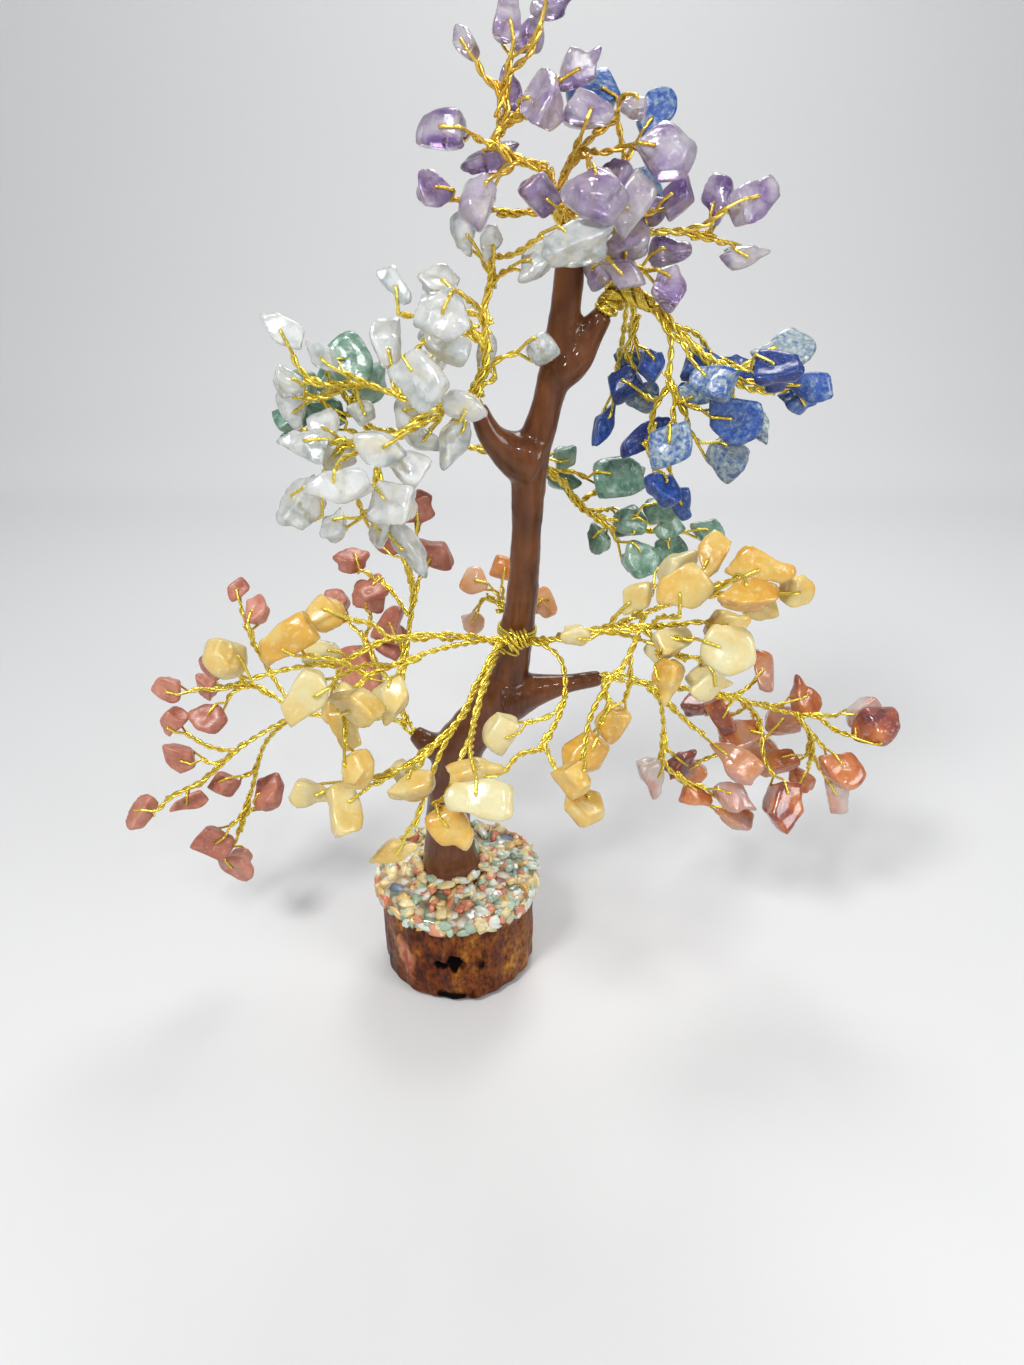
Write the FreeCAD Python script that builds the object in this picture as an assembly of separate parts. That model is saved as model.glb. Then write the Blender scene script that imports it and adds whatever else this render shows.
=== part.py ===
import FreeCAD, Part
import math
import os

# A gemstone tree: a log slice topped with stone grit in resin carries a leaning clay trunk,
# and bundles of twisted gilt wire carry drilled stone chips, seven kinds on twelve limbs.
# Millimetres, +Z up, the origin in the middle of the log's underside, the front towards -Y.

# Driving dimensions
LOG_DIAMETER = 50.0
LOG_HEIGHT = 28.0
KNOT_DIAMETER = 7.0
KNOT_DEPTH = 2.0
MOSAIC_HEIGHT = 5.0
MOSAIC_OVERHANG = 2.0
RIM_GRIT_THICKNESS = 1.6
TOP_GRIT_LENGTH = 5.4
TOP_GRIT_HEIGHT = 2.0
TRUNK_HEIGHT = 180.0
CROWN_REACH = 100.0
TRUNK_DIAMETER = 12.0
CORE_DIAMETER = 3.6
BOUGH_DIAMETER = 2.8
TWIG_DIAMETER = 0.85
EYE_WIRE_DIAMETER = 0.5
WRAP_WIRE_DIAMETER = 0.8
WRAP_PITCH = 1.35
SOCKET_DEPTH = 4.5
CHIP_LENGTH = 13.0
CHIP_BORE = 0.95
BORE_INSET = 2.0
EYE_NECK = 1.9

# Clearances
SEAT_GAP = 0.05
FIT_CLEARANCE = 0.12
EYE_CLEARANCE = 0.1
CHIP_GAP = 0.35
WIRE_GAP = 0.12
SEAT_CLOSENESS = 0.3
PUSH_MARGIN = 0.05
CUT_OVERRUN = 1.0
FLATNESS = 1e-6

# Counts and angles
LOG_SIDES = 18
KNOT_SIDES = 7
BED_FLATS = 22
TOP_GRIT_COUNT = 34
TRUNK_SIDES = 10
STUB_SIDES = 8
CORE_SIDES = 4
STEM_SIDES = 5
TWIG_SIDES = 3
WRAP_SIDES = 3
TRUNK_WRAP_TURNS = 2
BINDING_TURNS = 3
LIMB_WRAP_TURNS = 2
SETTLE_ROUNDS = 80
SEAT_SPACING_SHARE = 0.8
VIEW_DROP = math.radians(28.7)
GOLDEN_ANGLE = math.radians(137.5)

BASE_TOP = LOG_HEIGHT + MOSAIC_HEIGHT
MOSAIC_DIAMETER = LOG_DIAMETER + 2 * MOSAIC_OVERHANG
Vector = FreeCAD.Vector

# Bark furrows: each is the outline's radius at one corner as a share of the log's radius
BARK_BOTTOM_SHARES = (0.97, 1.0, 0.96, 1.0, 0.98, 0.95, 0.99, 1.0, 0.96)
BARK_TOP_SHARES = (1.0, 0.96, 0.99, 0.97, 1.0, 0.98, 0.95, 0.99, 0.98)

# The trunk from its foot on the log to its tip: x, y, height and diameter shares
TRUNK_SHARES = (
    (-0.02, 0.00, 0.000, 1.75), (-0.022, 0.00, 0.040, 1.35), (-0.024, 0.00, 0.110, 1.12),
    (-0.01, 0.00, 0.195, 1.10), (0.03, 0.00, 0.265, 1.15), (0.115, 0.00, 0.335, 1.00),
    (0.170, 0.00, 0.400, 0.82), (0.188, 0.00, 0.470, 0.78), (0.204, 0.00, 0.540, 0.70),
    (0.213, 0.00, 0.640, 0.66), (0.220, 0.00, 0.730, 0.78), (0.255, 0.00, 0.800, 0.64),
    (0.288, 0.00, 0.880, 0.66), (0.303, 0.00, 0.950, 0.60), (0.31, 0.00, 1.000, 0.56),
)
WRAP_ROW_INDEX = 7

# Clay stubs that the limbs come out of, from the trunk's axis to the stub's end
STUB_SHARES = {
    "jasper": ((0.04, 0.00, 0.275, 1.00), (-0.02, 0.01, 0.252, 0.86), (-0.07, 0.025, 0.251, 0.62),
               (-0.12, 0.04, 0.270, 0.42)),
    "carnelian": ((0.15, 0.00, 0.350, 0.84), (0.235, 0.00, 0.362, 0.70),
                  (0.33, 0.00, 0.374, 0.46), (0.43, 0.00, 0.385, 0.36)),
    "quartz": ((0.222, 0.00, 0.735, 0.76), (0.165, -0.02, 0.752, 0.66), (0.12, -0.04, 0.777, 0.50),
               (0.09, -0.05, 0.815, 0.40)),
    "lapis": ((0.280, 0.00, 0.855, 0.62), (0.33, 0.00, 0.875, 0.58), (0.36, 0.00, 0.905, 0.52),
              (0.392, -0.003, 0.932, 0.42)),
    "green": ((0.218, 0.00, 0.690, 0.60), (0.215, 0.05, 0.705, 0.50), (0.21, 0.085, 0.720, 0.42)),
    "orange": ((0.18, 0.00, 0.420, 0.52), (0.18, 0.05, 0.430, 0.44), (0.17, 0.09, 0.445, 0.38)),
}

# Boughs of twisted wire, per limb: start and end diameter shares, then x, y and height shares.
# A limb's first bough starts in the socket of its stub, and the others start inside that one.
BOUGH_SHARES = {
    "amethyst": (
        (1.0, 0.80, ((0.27, -0.04, 1.060), (0.25, -0.06, 1.100))),
        (0.70, 0.36, ((0.25, -0.06, 1.100), (0.17, -0.07, 1.115), (0.14, -0.07, 1.135),
                      (0.17, -0.06, 1.160), (0.12, -0.04, 1.205))),
        (0.36, 0.30, ((0.155, -0.055, 1.180), (0.17, -0.05, 1.210), (0.20, -0.04, 1.240))),
        (0.70, 0.36, ((0.27, -0.04, 1.060), (0.20, -0.05, 1.052), (0.13, -0.06, 1.055),
                      (0.05, -0.07, 1.075))),
        (0.66, 0.36, ((0.27, -0.04, 1.060), (0.30, -0.05, 1.105), (0.36, -0.06, 1.140),
                      (0.42, -0.05, 1.160))),
        (0.70, 0.36, ((0.27, -0.04, 1.060), (0.37, -0.05, 1.035), (0.50, -0.06, 1.030),
                      (0.67, -0.04, 1.025))),
        (0.50, 0.32, ((0.32, -0.045, 1.048), (0.38, -0.06, 1.005), (0.48, -0.08, 1.000))),
    ),
    "quartz": (
        (1.0, 0.64, ((0.085, -0.06, 0.835), (0.11, -0.065, 0.880), (0.115, -0.07, 0.925))),
        (0.60, 0.36, ((0.115, -0.07, 0.925), (0.115, -0.07, 0.955), (0.13, -0.07, 0.985),
                      (0.115, -0.07, 1.010))),
        (0.50, 0.32, ((0.115, -0.07, 0.925), (0.09, -0.09, 0.955), (0.04, -0.09, 0.975))),
        (0.50, 0.32, ((0.115, -0.07, 0.925), (0.17, -0.08, 0.935), (0.225, -0.09, 0.930),
                      (0.25, -0.12, 0.955))),
        (0.50, 0.32, ((0.11, -0.067, 0.900), (0.07, -0.09, 0.920), (0.04, -0.11, 0.915))),
        (0.75, 0.34, ((0.085, -0.06, 0.835), (0.02, -0.12, 0.832), (-0.08, -0.13, 0.838),
                      (-0.17, -0.10, 0.852), (-0.28, -0.08, 0.848), (-0.35, -0.07, 0.862))),
        (0.66, 0.34, ((0.03, -0.11, 0.832), (-0.03, -0.13, 0.815), (-0.11, -0.14, 0.788),
                      (-0.24, -0.14, 0.770), (-0.29, -0.15, 0.730))),
        (0.50, 0.32, ((-0.11, -0.14, 0.788), (-0.15, -0.16, 0.745), (-0.15, -0.17, 0.720))),
    ),
    "green": (
        (1.0, 0.86, ((0.195, 0.115, 0.724),)),
        (0.80, 0.36, ((0.195, 0.115, 0.724), (0.08, 0.11, 0.735), (-0.06, 0.13, 0.745),
                      (-0.22, 0.15, 0.768), (-0.28, 0.15, 0.820))),
        (0.80, 0.36, ((0.195, 0.115, 0.724), (0.30, 0.13, 0.685), (0.38, 0.19, 0.625),
                      (0.48, 0.22, 0.590), (0.66, 0.25, 0.575))),
        (0.50, 0.32, ((-0.10, 0.135, 0.750), (-0.26, 0.14, 0.735), (-0.38, 0.16, 0.745))),
        (0.50, 0.32, ((0.36, 0.175, 0.640), (0.42, 0.22, 0.650), (0.50, 0.24, 0.650))),
    ),
    "lapis": (
        (1.0, 0.80, ((0.50, -0.04, 0.943),)),
        (0.76, 0.34, ((0.50, -0.04, 0.943), (0.58, -0.06, 0.905), (0.66, -0.07, 0.865),
                      (0.74, -0.07, 0.843), (0.82, -0.06, 0.832))),
        (0.60, 0.34, ((0.50, -0.04, 0.943), (0.545, -0.06, 0.905), (0.55, -0.08, 0.850),
                      (0.60, -0.10, 0.805), (0.67, -0.11, 0.780))),
        (0.46, 0.32, ((0.55, -0.08, 0.850), (0.515, -0.07, 0.810), (0.515, -0.06, 0.760),
                      (0.53, -0.06, 0.748))),
        (0.46, 0.32, ((0.455, -0.02, 0.952), (0.465, 0.01, 0.915), (0.45, 0.02, 0.880))),
        (0.46, 0.32, ((0.455, -0.02, 0.952), (0.45, 0.09, 1.000), (0.45, 0.12, 1.060),
                      (0.43, 0.12, 1.120), (0.42, 0.12, 1.140))),
    ),
    "yellow": (
        (0.90, 0.36, ((0.185, -0.082, 0.472), (0.15, -0.082, 0.472), (0.10, -0.10, 0.480),
                      (-0.02, -0.18, 0.508), (-0.16, -0.25, 0.518), (-0.28, -0.29, 0.495), (-0.41, -0.32, 0.515))),
        (0.60, 0.34, ((0.10, -0.10, 0.480), (-0.01, -0.20, 0.494), (-0.12, -0.28, 0.492),
                      (-0.20, -0.35, 0.485), (-0.24, -0.38, 0.455))),
        (0.66, 0.34, ((0.14, -0.09, 0.476), (0.08, -0.22, 0.440), (0.03, -0.33, 0.412),
                      (-0.07, -0.43, 0.385), (-0.20, -0.46, 0.355))),
        (0.66, 0.34, ((0.14, -0.09, 0.476), (0.10, -0.23, 0.446), (0.07, -0.36, 0.415),
                      (0.04, -0.48, 0.388), (0.02, -0.56, 0.372))),
        (0.46, 0.32, ((0.03, -0.33, 0.412), (-0.01, -0.40, 0.385), (-0.05, -0.48, 0.335),
                      (-0.08, -0.51, 0.290))),
        (0.60, 0.34, ((0.22, -0.09, 0.476), (0.27, -0.14, 0.478), (0.305, -0.20, 0.465),
                      (0.30, -0.30, 0.430), (0.24, -0.40, 0.390))),
        (0.90, 0.36, ((0.185, -0.082, 0.472), (0.22, -0.082, 0.472), (0.26, -0.10, 0.480),
                      (0.36, -0.17, 0.512), (0.50, -0.22, 0.535), (0.68, -0.24, 0.542))),
        (0.50, 0.32, ((0.42, -0.193, 0.523), (0.52, -0.19, 0.550), (0.64, -0.16, 0.567),
                      (0.79, -0.14, 0.566))),
        (0.50, 0.32, ((0.50, -0.22, 0.535), (0.45, -0.28, 0.490), (0.40, -0.31, 0.470),
                      (0.42, -0.33, 0.445))),
        (0.50, 0.32, ((0.50, -0.22, 0.535), (0.57, -0.25, 0.505), (0.62, -0.27, 0.490))),
    ),
    "carnelian": (
        (1.0, 0.84, ((0.48, 0.00, 0.385), (0.56, 0.00, 0.372))),
        (0.76, 0.36, ((0.56, 0.00, 0.372), (0.68, 0.03, 0.355), (0.85, 0.05, 0.328),
                      (1.02, 0.06, 0.300), (1.15, 0.04, 0.298))),
        (0.66, 0.34, ((0.56, 0.00, 0.372), (0.64, -0.01, 0.332), (0.72, -0.02, 0.285),
                      (0.79, -0.03, 0.220))),
        (0.50, 0.32, ((0.60, -0.005, 0.352), (0.62, 0.00, 0.290), (0.63, -0.02, 0.230),
                      (0.70, -0.04, 0.195))),
        (0.46, 0.32, ((0.85, 0.05, 0.328), (0.92, 0.08, 0.280), (0.93, 0.06, 0.235))),
        (0.46, 0.32, ((1.02, 0.06, 0.300), (1.08, 0.06, 0.250), (1.09, 0.06, 0.200))),
    ),
    "jasper": (
        (1.0, 0.90, ((-0.14, 0.045, 0.285),)),
        (0.70, 0.36, ((-0.14, 0.045, 0.285), (-0.16, 0.10, 0.325), (-0.14, 0.17, 0.400),
                      (-0.12, 0.22, 0.480), (-0.14, 0.25, 0.540))),
        (0.46, 0.32, ((-0.16, 0.10, 0.325), (-0.24, 0.18, 0.360), (-0.29, 0.25, 0.400))),
        (0.46, 0.32, ((-0.13, 0.195, 0.440), (-0.19, 0.25, 0.475), (-0.26, 0.28, 0.505))),
        (0.90, 0.66, ((-0.14, 0.045, 0.285), (-0.22, 0.035, 0.302), (-0.34, 0.015, 0.310),
                      (-0.45, 0.00, 0.320))),
        (0.46, 0.32, ((-0.45, 0.00, 0.320), (-0.53, 0.06, 0.375), (-0.60, 0.11, 0.450))),
        (0.46, 0.32, ((-0.45, 0.00, 0.320), (-0.58, 0.02, 0.368), (-0.71, 0.02, 0.352))),
        (0.50, 0.32, ((-0.45, 0.00, 0.320), (-0.61, -0.02, 0.268), (-0.74, -0.03, 0.205),
                      (-0.86, -0.05, 0.172))),
        (0.50, 0.32, ((-0.45, 0.00, 0.320), (-0.56, 0.02, 0.258), (-0.62, 0.02, 0.170),
                      (-0.67, -0.01, 0.085))),
    ),
    "orange": (
        (0.80, 0.40, ((0.16, 0.12, 0.468), (0.13, 0.165, 0.476), (0.10, 0.19, 0.480))),
        (0.40, 0.32, ((0.16, 0.12, 0.468), (0.22, 0.15, 0.462))),
    ),
}
WRAPPED_LIMBS = ("amethyst", "lapis")
FRONT_LIMB = "yellow"

# Stone chips, per limb: x, y and height shares of the middle, length and width as shares of
# CHIP_LENGTH, and the lean of the length from level, in degrees, as seen from the front
CHIP_SHARES = {
    "amethyst": (
        (0.08, -0.02, 1.225, 0.65, 0.40, 100), (0.16, -0.08, 1.245, 0.70, 0.50, 100),
        (0.20, 0.00, 1.235, 0.65, 0.45, 75), (0.24, -0.04, 1.260, 0.75, 0.40, 30),
        (0.17, -0.03, 1.200, 0.70, 0.45, 105), (0.32, -0.04, 1.200, 0.85, 0.60, 45),
        (0.24, -0.16, 1.150, 1.00, 0.75, 80), (0.34, -0.06, 1.155, 0.80, 0.55, 0),
        (0.43, -0.10, 1.160, 0.50, 0.40, 10), (0.40, -0.10, 1.115, 0.80, 0.65, 60),
        (0.48, -0.12, 1.105, 0.95, 0.80, -35), (0.22, -0.16, 1.080, 0.80, 0.70, 15),
        (0.34, -0.20, 1.075, 0.95, 0.85, -20),
        (0.02, -0.06, 1.120, 0.90, 0.65, 10), (0.00, -0.08, 1.085, 0.70, 0.60, 75),
        (0.11, -0.04, 1.100, 1.10, 0.45, 20),
        (0.11, -0.10, 1.060, 0.95, 0.60, 80), (0.53, -0.06, 1.060, 0.75, 0.55, 75),
        (0.64, -0.02, 1.060, 0.85, 0.50, 80), (0.70, -0.04, 1.055, 1.10, 0.70, 50),
        (0.71, -0.06, 1.015, 0.80, 0.40, 0), (0.54, -0.08, 1.020, 0.80, 0.50, -10),
        (0.52, -0.08, 0.975, 0.80, 0.60, 80), (0.43, -0.10, 0.980, 0.95, 0.55, -15),
        (0.37, -0.06, 0.985, 0.75, 0.50, 60), (0.42, -0.12, 1.055, 1.00, 0.60, 65),
    ),
    "quartz": (
        (0.22, -0.14, 0.995, 0.80, 0.55, 55), (0.30, -0.20, 1.015, 1.40, 0.70, 25),
        (0.07, -0.08, 1.035, 0.75, 0.40, 100), (0.12, -0.12, 1.020, 0.65, 0.40, 80),
        (0.00, -0.08, 0.980, 0.65, 0.50, -10), (-0.08, -0.10, 0.970, 0.80, 0.40, -45),
        (0.01, -0.12, 0.945, 0.60, 0.50, 80),
        (-0.02, -0.08, 0.920, 0.60, 0.45, 30), (0.02, -0.14, 0.910, 0.85, 0.70, 0),
        (0.24, -0.10, 0.900, 0.65, 0.60, 80), (-0.01, -0.16, 0.885, 0.70, 0.55, 60),
        (-0.01, -0.22, 0.865, 0.95, 0.80, -40), (0.07, -0.24, 0.850, 0.85, 0.50, -15),
        (-0.13, -0.08, 0.885, 1.00, 0.60, -80), (-0.36, -0.06, 0.915, 0.90, 0.45, -35),
        (-0.27, -0.10, 0.890, 0.90, 0.45, -45), (-0.37, -0.06, 0.850, 0.60, 0.50, -60),
        (-0.37, -0.02, 0.810, 0.80, 0.55, -70), (-0.08, -0.12, 0.825, 0.80, 0.65, 70),
        (0.11, -0.02, 0.865, 0.95, 0.35, 80),
        (-0.05, -0.06, 0.785, 0.80, 0.50, -20), (0.03, -0.14, 0.785, 1.05, 0.60, 75),
        (-0.28, -0.10, 0.790, 0.70, 0.55, 60), (-0.32, -0.14, 0.775, 1.05, 0.50, -15),
        (-0.12, -0.18, 0.770, 0.95, 0.65, -20),
        (-0.35, -0.16, 0.695, 1.25, 0.65, 60), (-0.23, -0.18, 0.720, 1.30, 0.60, 0),
        (-0.11, -0.22, 0.720, 1.00, 0.85, 40), (-0.26, -0.12, 0.660, 0.80, 0.55, 60),
        (-0.17, -0.16, 0.665, 0.80, 0.55, 80), (-0.07, -0.20, 0.645, 1.20, 0.50, -60),
    ),
    "green_left": (
        (-0.27, 0.14, 0.865, 0.65, 0.50, 60), (-0.22, 0.10, 0.845, 1.05, 0.80, -60),
        (-0.32, 0.16, 0.840, 0.80, 0.60, 40), (-0.22, 0.14, 0.815, 0.85, 0.65, 30),
        (-0.37, 0.10, 0.830, 0.70, 0.55, 0), (-0.31, 0.14, 0.795, 0.85, 0.60, -30),
        (-0.42, 0.16, 0.775, 0.70, 0.55, 30), (-0.43, 0.20, 0.740, 0.85, 0.45, -10),
    ),
    "green_right": (
        (0.31, 0.20, 0.705, 0.60, 0.50, 60), (0.32, 0.22, 0.670, 0.80, 0.50, -20),
        (0.44, 0.20, 0.665, 1.00, 0.90, 30),
        (0.52, 0.28, 0.670, 0.65, 0.50, 20), (0.60, 0.24, 0.610, 0.85, 0.55, -5),
        (0.53, 0.26, 0.585, 0.75, 0.65, 30), (0.72, 0.26, 0.575, 0.95, 0.65, -20),
        (0.53, 0.24, 0.545, 0.85, 0.75, -60), (0.63, 0.28, 0.545, 0.70, 0.65, 40),
        (0.43, 0.24, 0.570, 0.80, 0.45, -70),
    ),
    "lapis": (
        (0.35, 0.12, 1.175, 1.00, 0.85, 20), (0.50, 0.14, 1.155, 1.00, 0.65, 60),
        (0.47, 0.08, 1.075, 0.75, 0.60, -30), (0.63, -0.04, 0.855, 0.80, 0.55, 10),
        (0.72, 0.02, 0.860, 0.85, 0.40, -30), (0.81, -0.02, 0.875, 1.15, 0.65, 5),
        (0.77, -0.12, 0.850, 0.70, 0.65, 0), (0.86, -0.08, 0.850, 0.80, 0.50, -10),
        (0.87, -0.04, 0.825, 0.80, 0.45, 10), (0.78, -0.08, 0.795, 0.80, 0.40, -80),
        (0.62, -0.08, 0.830, 0.90, 0.65, -10), (0.66, -0.14, 0.820, 1.00, 0.80, -30),
        (0.70, -0.10, 0.760, 0.90, 0.75, -40), (0.51, -0.08, 0.795, 1.15, 0.45, 40),
        (0.56, -0.12, 0.770, 0.95, 0.80, 60),
        (0.54, -0.10, 0.712, 0.85, 0.60, -50), (0.61, -0.06, 0.685, 0.80, 0.45, -55),
        (0.48, 0.04, 0.890, 0.75, 0.55, -15), (0.44, -0.02, 0.860, 0.75, 0.60, 20),
        (0.51, -0.02, 0.865, 0.70, 0.55, 70),
        (0.41, 0.00, 0.800, 1.05, 0.40, 70),
    ),
    "yellow_left": (
        (-0.53, -0.30, 0.510, 0.90, 0.85, -60), (-0.37, -0.34, 0.540, 1.30, 0.70, 40),
        (-0.29, -0.28, 0.570, 0.85, 0.70, 30), (-0.31, -0.24, 0.495, 0.90, 0.50, 5),
        (-0.30, -0.46, 0.495, 1.15, 0.65, 50), (-0.19, -0.44, 0.480, 1.15, 0.70, -20),
        (-0.13, -0.36, 0.450, 0.95, 0.65, 60), (-0.24, -0.40, 0.425, 0.90, 0.60, -60),
        (-0.29, -0.32, 0.430, 0.75, 0.55, 70),
    ),
    "yellow_centre": (
        (0.43, -0.34, 0.415, 0.75, 0.65, 50), (0.36, -0.40, 0.385, 0.95, 0.80, 30),
        (0.32, -0.48, 0.380, 0.75, 0.70, -10), (0.35, -0.52, 0.350, 0.85, 0.70, -50),
        (0.14, -0.34, 0.400, 0.95, 0.70, 70), (0.09, -0.46, 0.385, 1.00, 0.55, 10),
        (0.09, -0.58, 0.385, 1.35, 0.75, -5), (0.04, -0.62, 0.350, 0.95, 0.70, -50),
        (-0.12, -0.52, 0.265, 1.00, 0.55, 20), (-0.07, -0.50, 0.365, 1.00, 0.55, 15),
        (-0.10, -0.40, 0.355, 0.70, 0.55, -30), (-0.20, -0.44, 0.380, 0.80, 0.70, 60),
        (-0.23, -0.52, 0.340, 1.10, 0.65, -75), (-0.33, -0.44, 0.335, 0.80, 0.55, -10),
    ),
    "yellow_right": (
        (0.60, -0.06, 0.585, 1.05, 0.80, 60), (0.70, -0.08, 0.595, 1.00, 0.60, 65),
        (0.78, -0.14, 0.590, 1.25, 0.65, -10), (0.89, -0.16, 0.575, 0.75, 0.70, 60),
        (0.83, -0.12, 0.540, 0.80, 0.60, -20), (0.57, -0.24, 0.580, 1.10, 0.80, 20),
        (0.49, -0.18, 0.555, 0.95, 0.55, 60), (0.70, -0.26, 0.580, 1.15, 0.60, 5),
        (0.73, -0.20, 0.535, 0.90, 0.50, 10), (0.33, -0.26, 0.535, 0.60, 0.40, 0),
        (0.56, -0.22, 0.505, 0.75, 0.50, 50),
        (0.69, -0.30, 0.520, 0.90, 0.80, -10), (0.68, -0.26, 0.465, 1.10, 0.75, 10),
        (0.56, -0.32, 0.470, 0.85, 0.50, 80),
    ),
    "carnelian": (
        (0.92, 0.10, 0.360, 1.15, 0.50, -80), (1.04, 0.14, 0.305, 1.15, 0.65, -60),
        (1.02, 0.12, 0.265, 1.00, 0.70, 0), (1.23, 0.06, 0.300, 1.00, 0.60, 30),
        (1.23, 0.02, 0.275, 1.10, 0.95, 40), (1.15, 0.02, 0.220, 1.25, 0.85, -35),
        (1.17, 0.04, 0.145, 1.05, 0.60, -70), (1.09, 0.08, 0.155, 0.80, 0.55, -60),
        (1.00, 0.04, 0.205, 1.10, 0.65, 15), (0.97, -0.04, 0.155, 1.25, 0.85, 65),
        (0.84, -0.06, 0.180, 1.20, 0.75, -20), (0.84, -0.02, 0.125, 1.05, 0.55, -25),
        (0.73, -0.04, 0.215, 0.95, 0.70, -20), (0.69, 0.02, 0.220, 0.90, 0.50, 45),
        (0.59, -0.04, 0.205, 1.05, 0.50, -70), (0.81, -0.06, 0.255, 1.25, 0.70, -45),
        (0.96, 0.16, 0.210, 1.15, 1.00, 0), (0.76, 0.20, 0.275, 1.05, 0.70, 20),
    ),
    "jasper_left": (
        (-0.61, 0.14, 0.500, 0.55, 0.40, 50), (-0.56, 0.10, 0.480, 0.70, 0.55, 70),
        (-0.67, 0.00, 0.400, 0.75, 0.55, -50), (-0.81, 0.02, 0.360, 0.65, 0.60, -20),
        (-0.73, 0.04, 0.360, 0.70, 0.50, -60), (-0.70, -0.02, 0.315, 0.85, 0.70, -20),
        (-0.81, -0.02, 0.305, 0.70, 0.50, 60), (-0.81, -0.02, 0.250, 0.85, 0.60, -35),
        (-0.94, -0.06, 0.145, 1.00, 0.60, 60), (-0.81, 0.00, 0.145, 0.95, 0.40, 20),
        (-0.72, 0.02, 0.170, 0.85, 0.65, 20), (-0.58, 0.06, 0.145, 1.00, 0.70, 60),
        (-0.73, -0.02, 0.080, 0.85, 0.70, -10), (-0.69, -0.04, 0.035, 0.95, 0.75, -20),
    ),
    "jasper_back": (
        (-0.09, 0.30, 0.615, 0.70, 0.55, 60), (-0.10, 0.26, 0.600, 0.80, 0.60, 20),
        (-0.06, 0.24, 0.550, 1.00, 0.60, -35), (-0.30, 0.30, 0.520, 0.90, 0.55, 10),
        (-0.27, 0.30, 0.455, 0.75, 0.70, 0),
        (-0.35, 0.34, 0.430, 0.75, 0.60, 60), (-0.21, 0.24, 0.415, 1.05, 0.70, 70),
        (-0.28, 0.22, 0.330, 1.45, 0.90, -55), (-0.18, 0.28, 0.550, 0.90, 0.55, -30),
    ),
    "orange": (
        (0.07, 0.22, 0.490, 0.65, 0.60, 20), (0.14, 0.24, 0.515, 0.65, 0.60, 0),
        (0.05, 0.20, 0.435, 0.65, 0.50, 0), (0.27, 0.20, 0.460, 0.75, 0.50, -50),
    ),
}

# Repeating choices for the stones: an outline in length and width, the thickness as a share of
# the width, the size of the smaller face, the roll about the length and the tilt away in degrees
OUTLINE_SHARES = (
    ((-1.0, -0.25), (-0.35, -0.95), (0.75, -0.80), (1.0, 0.30), (0.10, 1.0)),
    ((-1.0, -0.50), (0.80, -1.0), (1.0, 0.45), (-0.45, 1.0)),
    ((-1.0, 0.10), (-0.50, -0.90), (0.55, -1.0), (1.0, 0.05), (0.35, 0.95)),
    ((-0.85, -0.85), (0.95, -0.65), (0.75, 0.80), (-0.75, 0.95)),
    ((-1.0, -0.45), (0.20, -1.0), (1.0, -0.35), (0.70, 0.90), (-0.60, 0.85)),
    ((-1.0, 0.15), (0.05, -1.0), (1.0, -0.20), (0.10, 1.0)),
)
THICKNESS_SHARES = (0.72, 0.62, 0.80, 0.68, 0.75, 0.60, 0.70)
SMALL_FACE_SHARES = (0.78, 0.70, 0.84, 0.74, 0.66)
ROLL_DEGREES = (-30, 20, 45, -15, 5, 30, -45, 10, -20)
SWING_DEGREES = (0, 30, -30, 60, -60, 90, -90)
TILT_DEGREES = (10, -15, 0, 20, -8, -20, 14, 4)

# Grit on the mosaic: width and thickness shares, and the colour of each piece in turn
TOP_GRIT_SHARE = 0.84
GRIT_WIDTH_SHARES = (0.80, 0.65, 0.90, 0.72, 0.60)
GRIT_HEIGHT_SHARES = (1.0, 0.7, 0.85, 0.6)
RIM_LENGTH_SHARES = (0.86, 0.70, 0.80, 0.62)
RIM_HEIGHT_SHARES = (0.86, 0.72, 0.90)
GRIT_COLOURS = ("cream", "red", "green", "white", "cream", "green", "red", "blue", "white",
                "cream", "red")


def place(x_share, y_share, height_share):
    return Vector(x_share * CROWN_REACH, y_share * CROWN_REACH,
                  BASE_TOP + height_share * TRUNK_HEIGHT)


def unit(vector):
    return vector / vector.Length


def turn_about(axis, vector, angle):
    """The vector turned about the unit axis by the angle, by Rodrigues' formula."""
    return (vector * math.cos(angle) + axis.cross(vector) * math.sin(angle)
            + axis * axis.dot(vector) * (1 - math.cos(angle)))


def in_turn(choices, index):
    return choices[index % len(choices)]


def flat_face(corners):
    return Part.Face(Part.makePolygon(corners + [corners[0]]))


def skin(sections):
    """A closed solid through rings of corners, with each side flat or split into two triangles."""
    faces = [flat_face(sections[0]), flat_face(sections[-1])]
    count = len(sections[0])
    for lower, upper in zip(sections, sections[1:]):
        for i in range(count):
            j = (i + 1) % count
            normal = (lower[j] - lower[i]).cross(upper[j] - lower[i])
            lift = normal.dot(upper[i] - lower[i])
            if abs(lift) < normal.Length * FLATNESS:
                faces.append(flat_face([lower[i], lower[j], upper[j], upper[i]]))
            else:
                faces.append(flat_face([lower[i], lower[j], upper[j]]))
                faces.append(flat_face([lower[i], upper[j], upper[i]]))
    return Part.makeSolid(Part.makeShell(faces))


def ring_offsets(direction, sides):
    """Unit offsets to the corners of a regular section square to the direction."""
    helper = Vector(0, 0, 1) if abs(direction.z) < 0.9 else Vector(1, 0, 0)
    first = unit(direction.cross(helper))
    return [turn_about(direction, first, math.tau * i / sides) for i in range(sides)]


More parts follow.
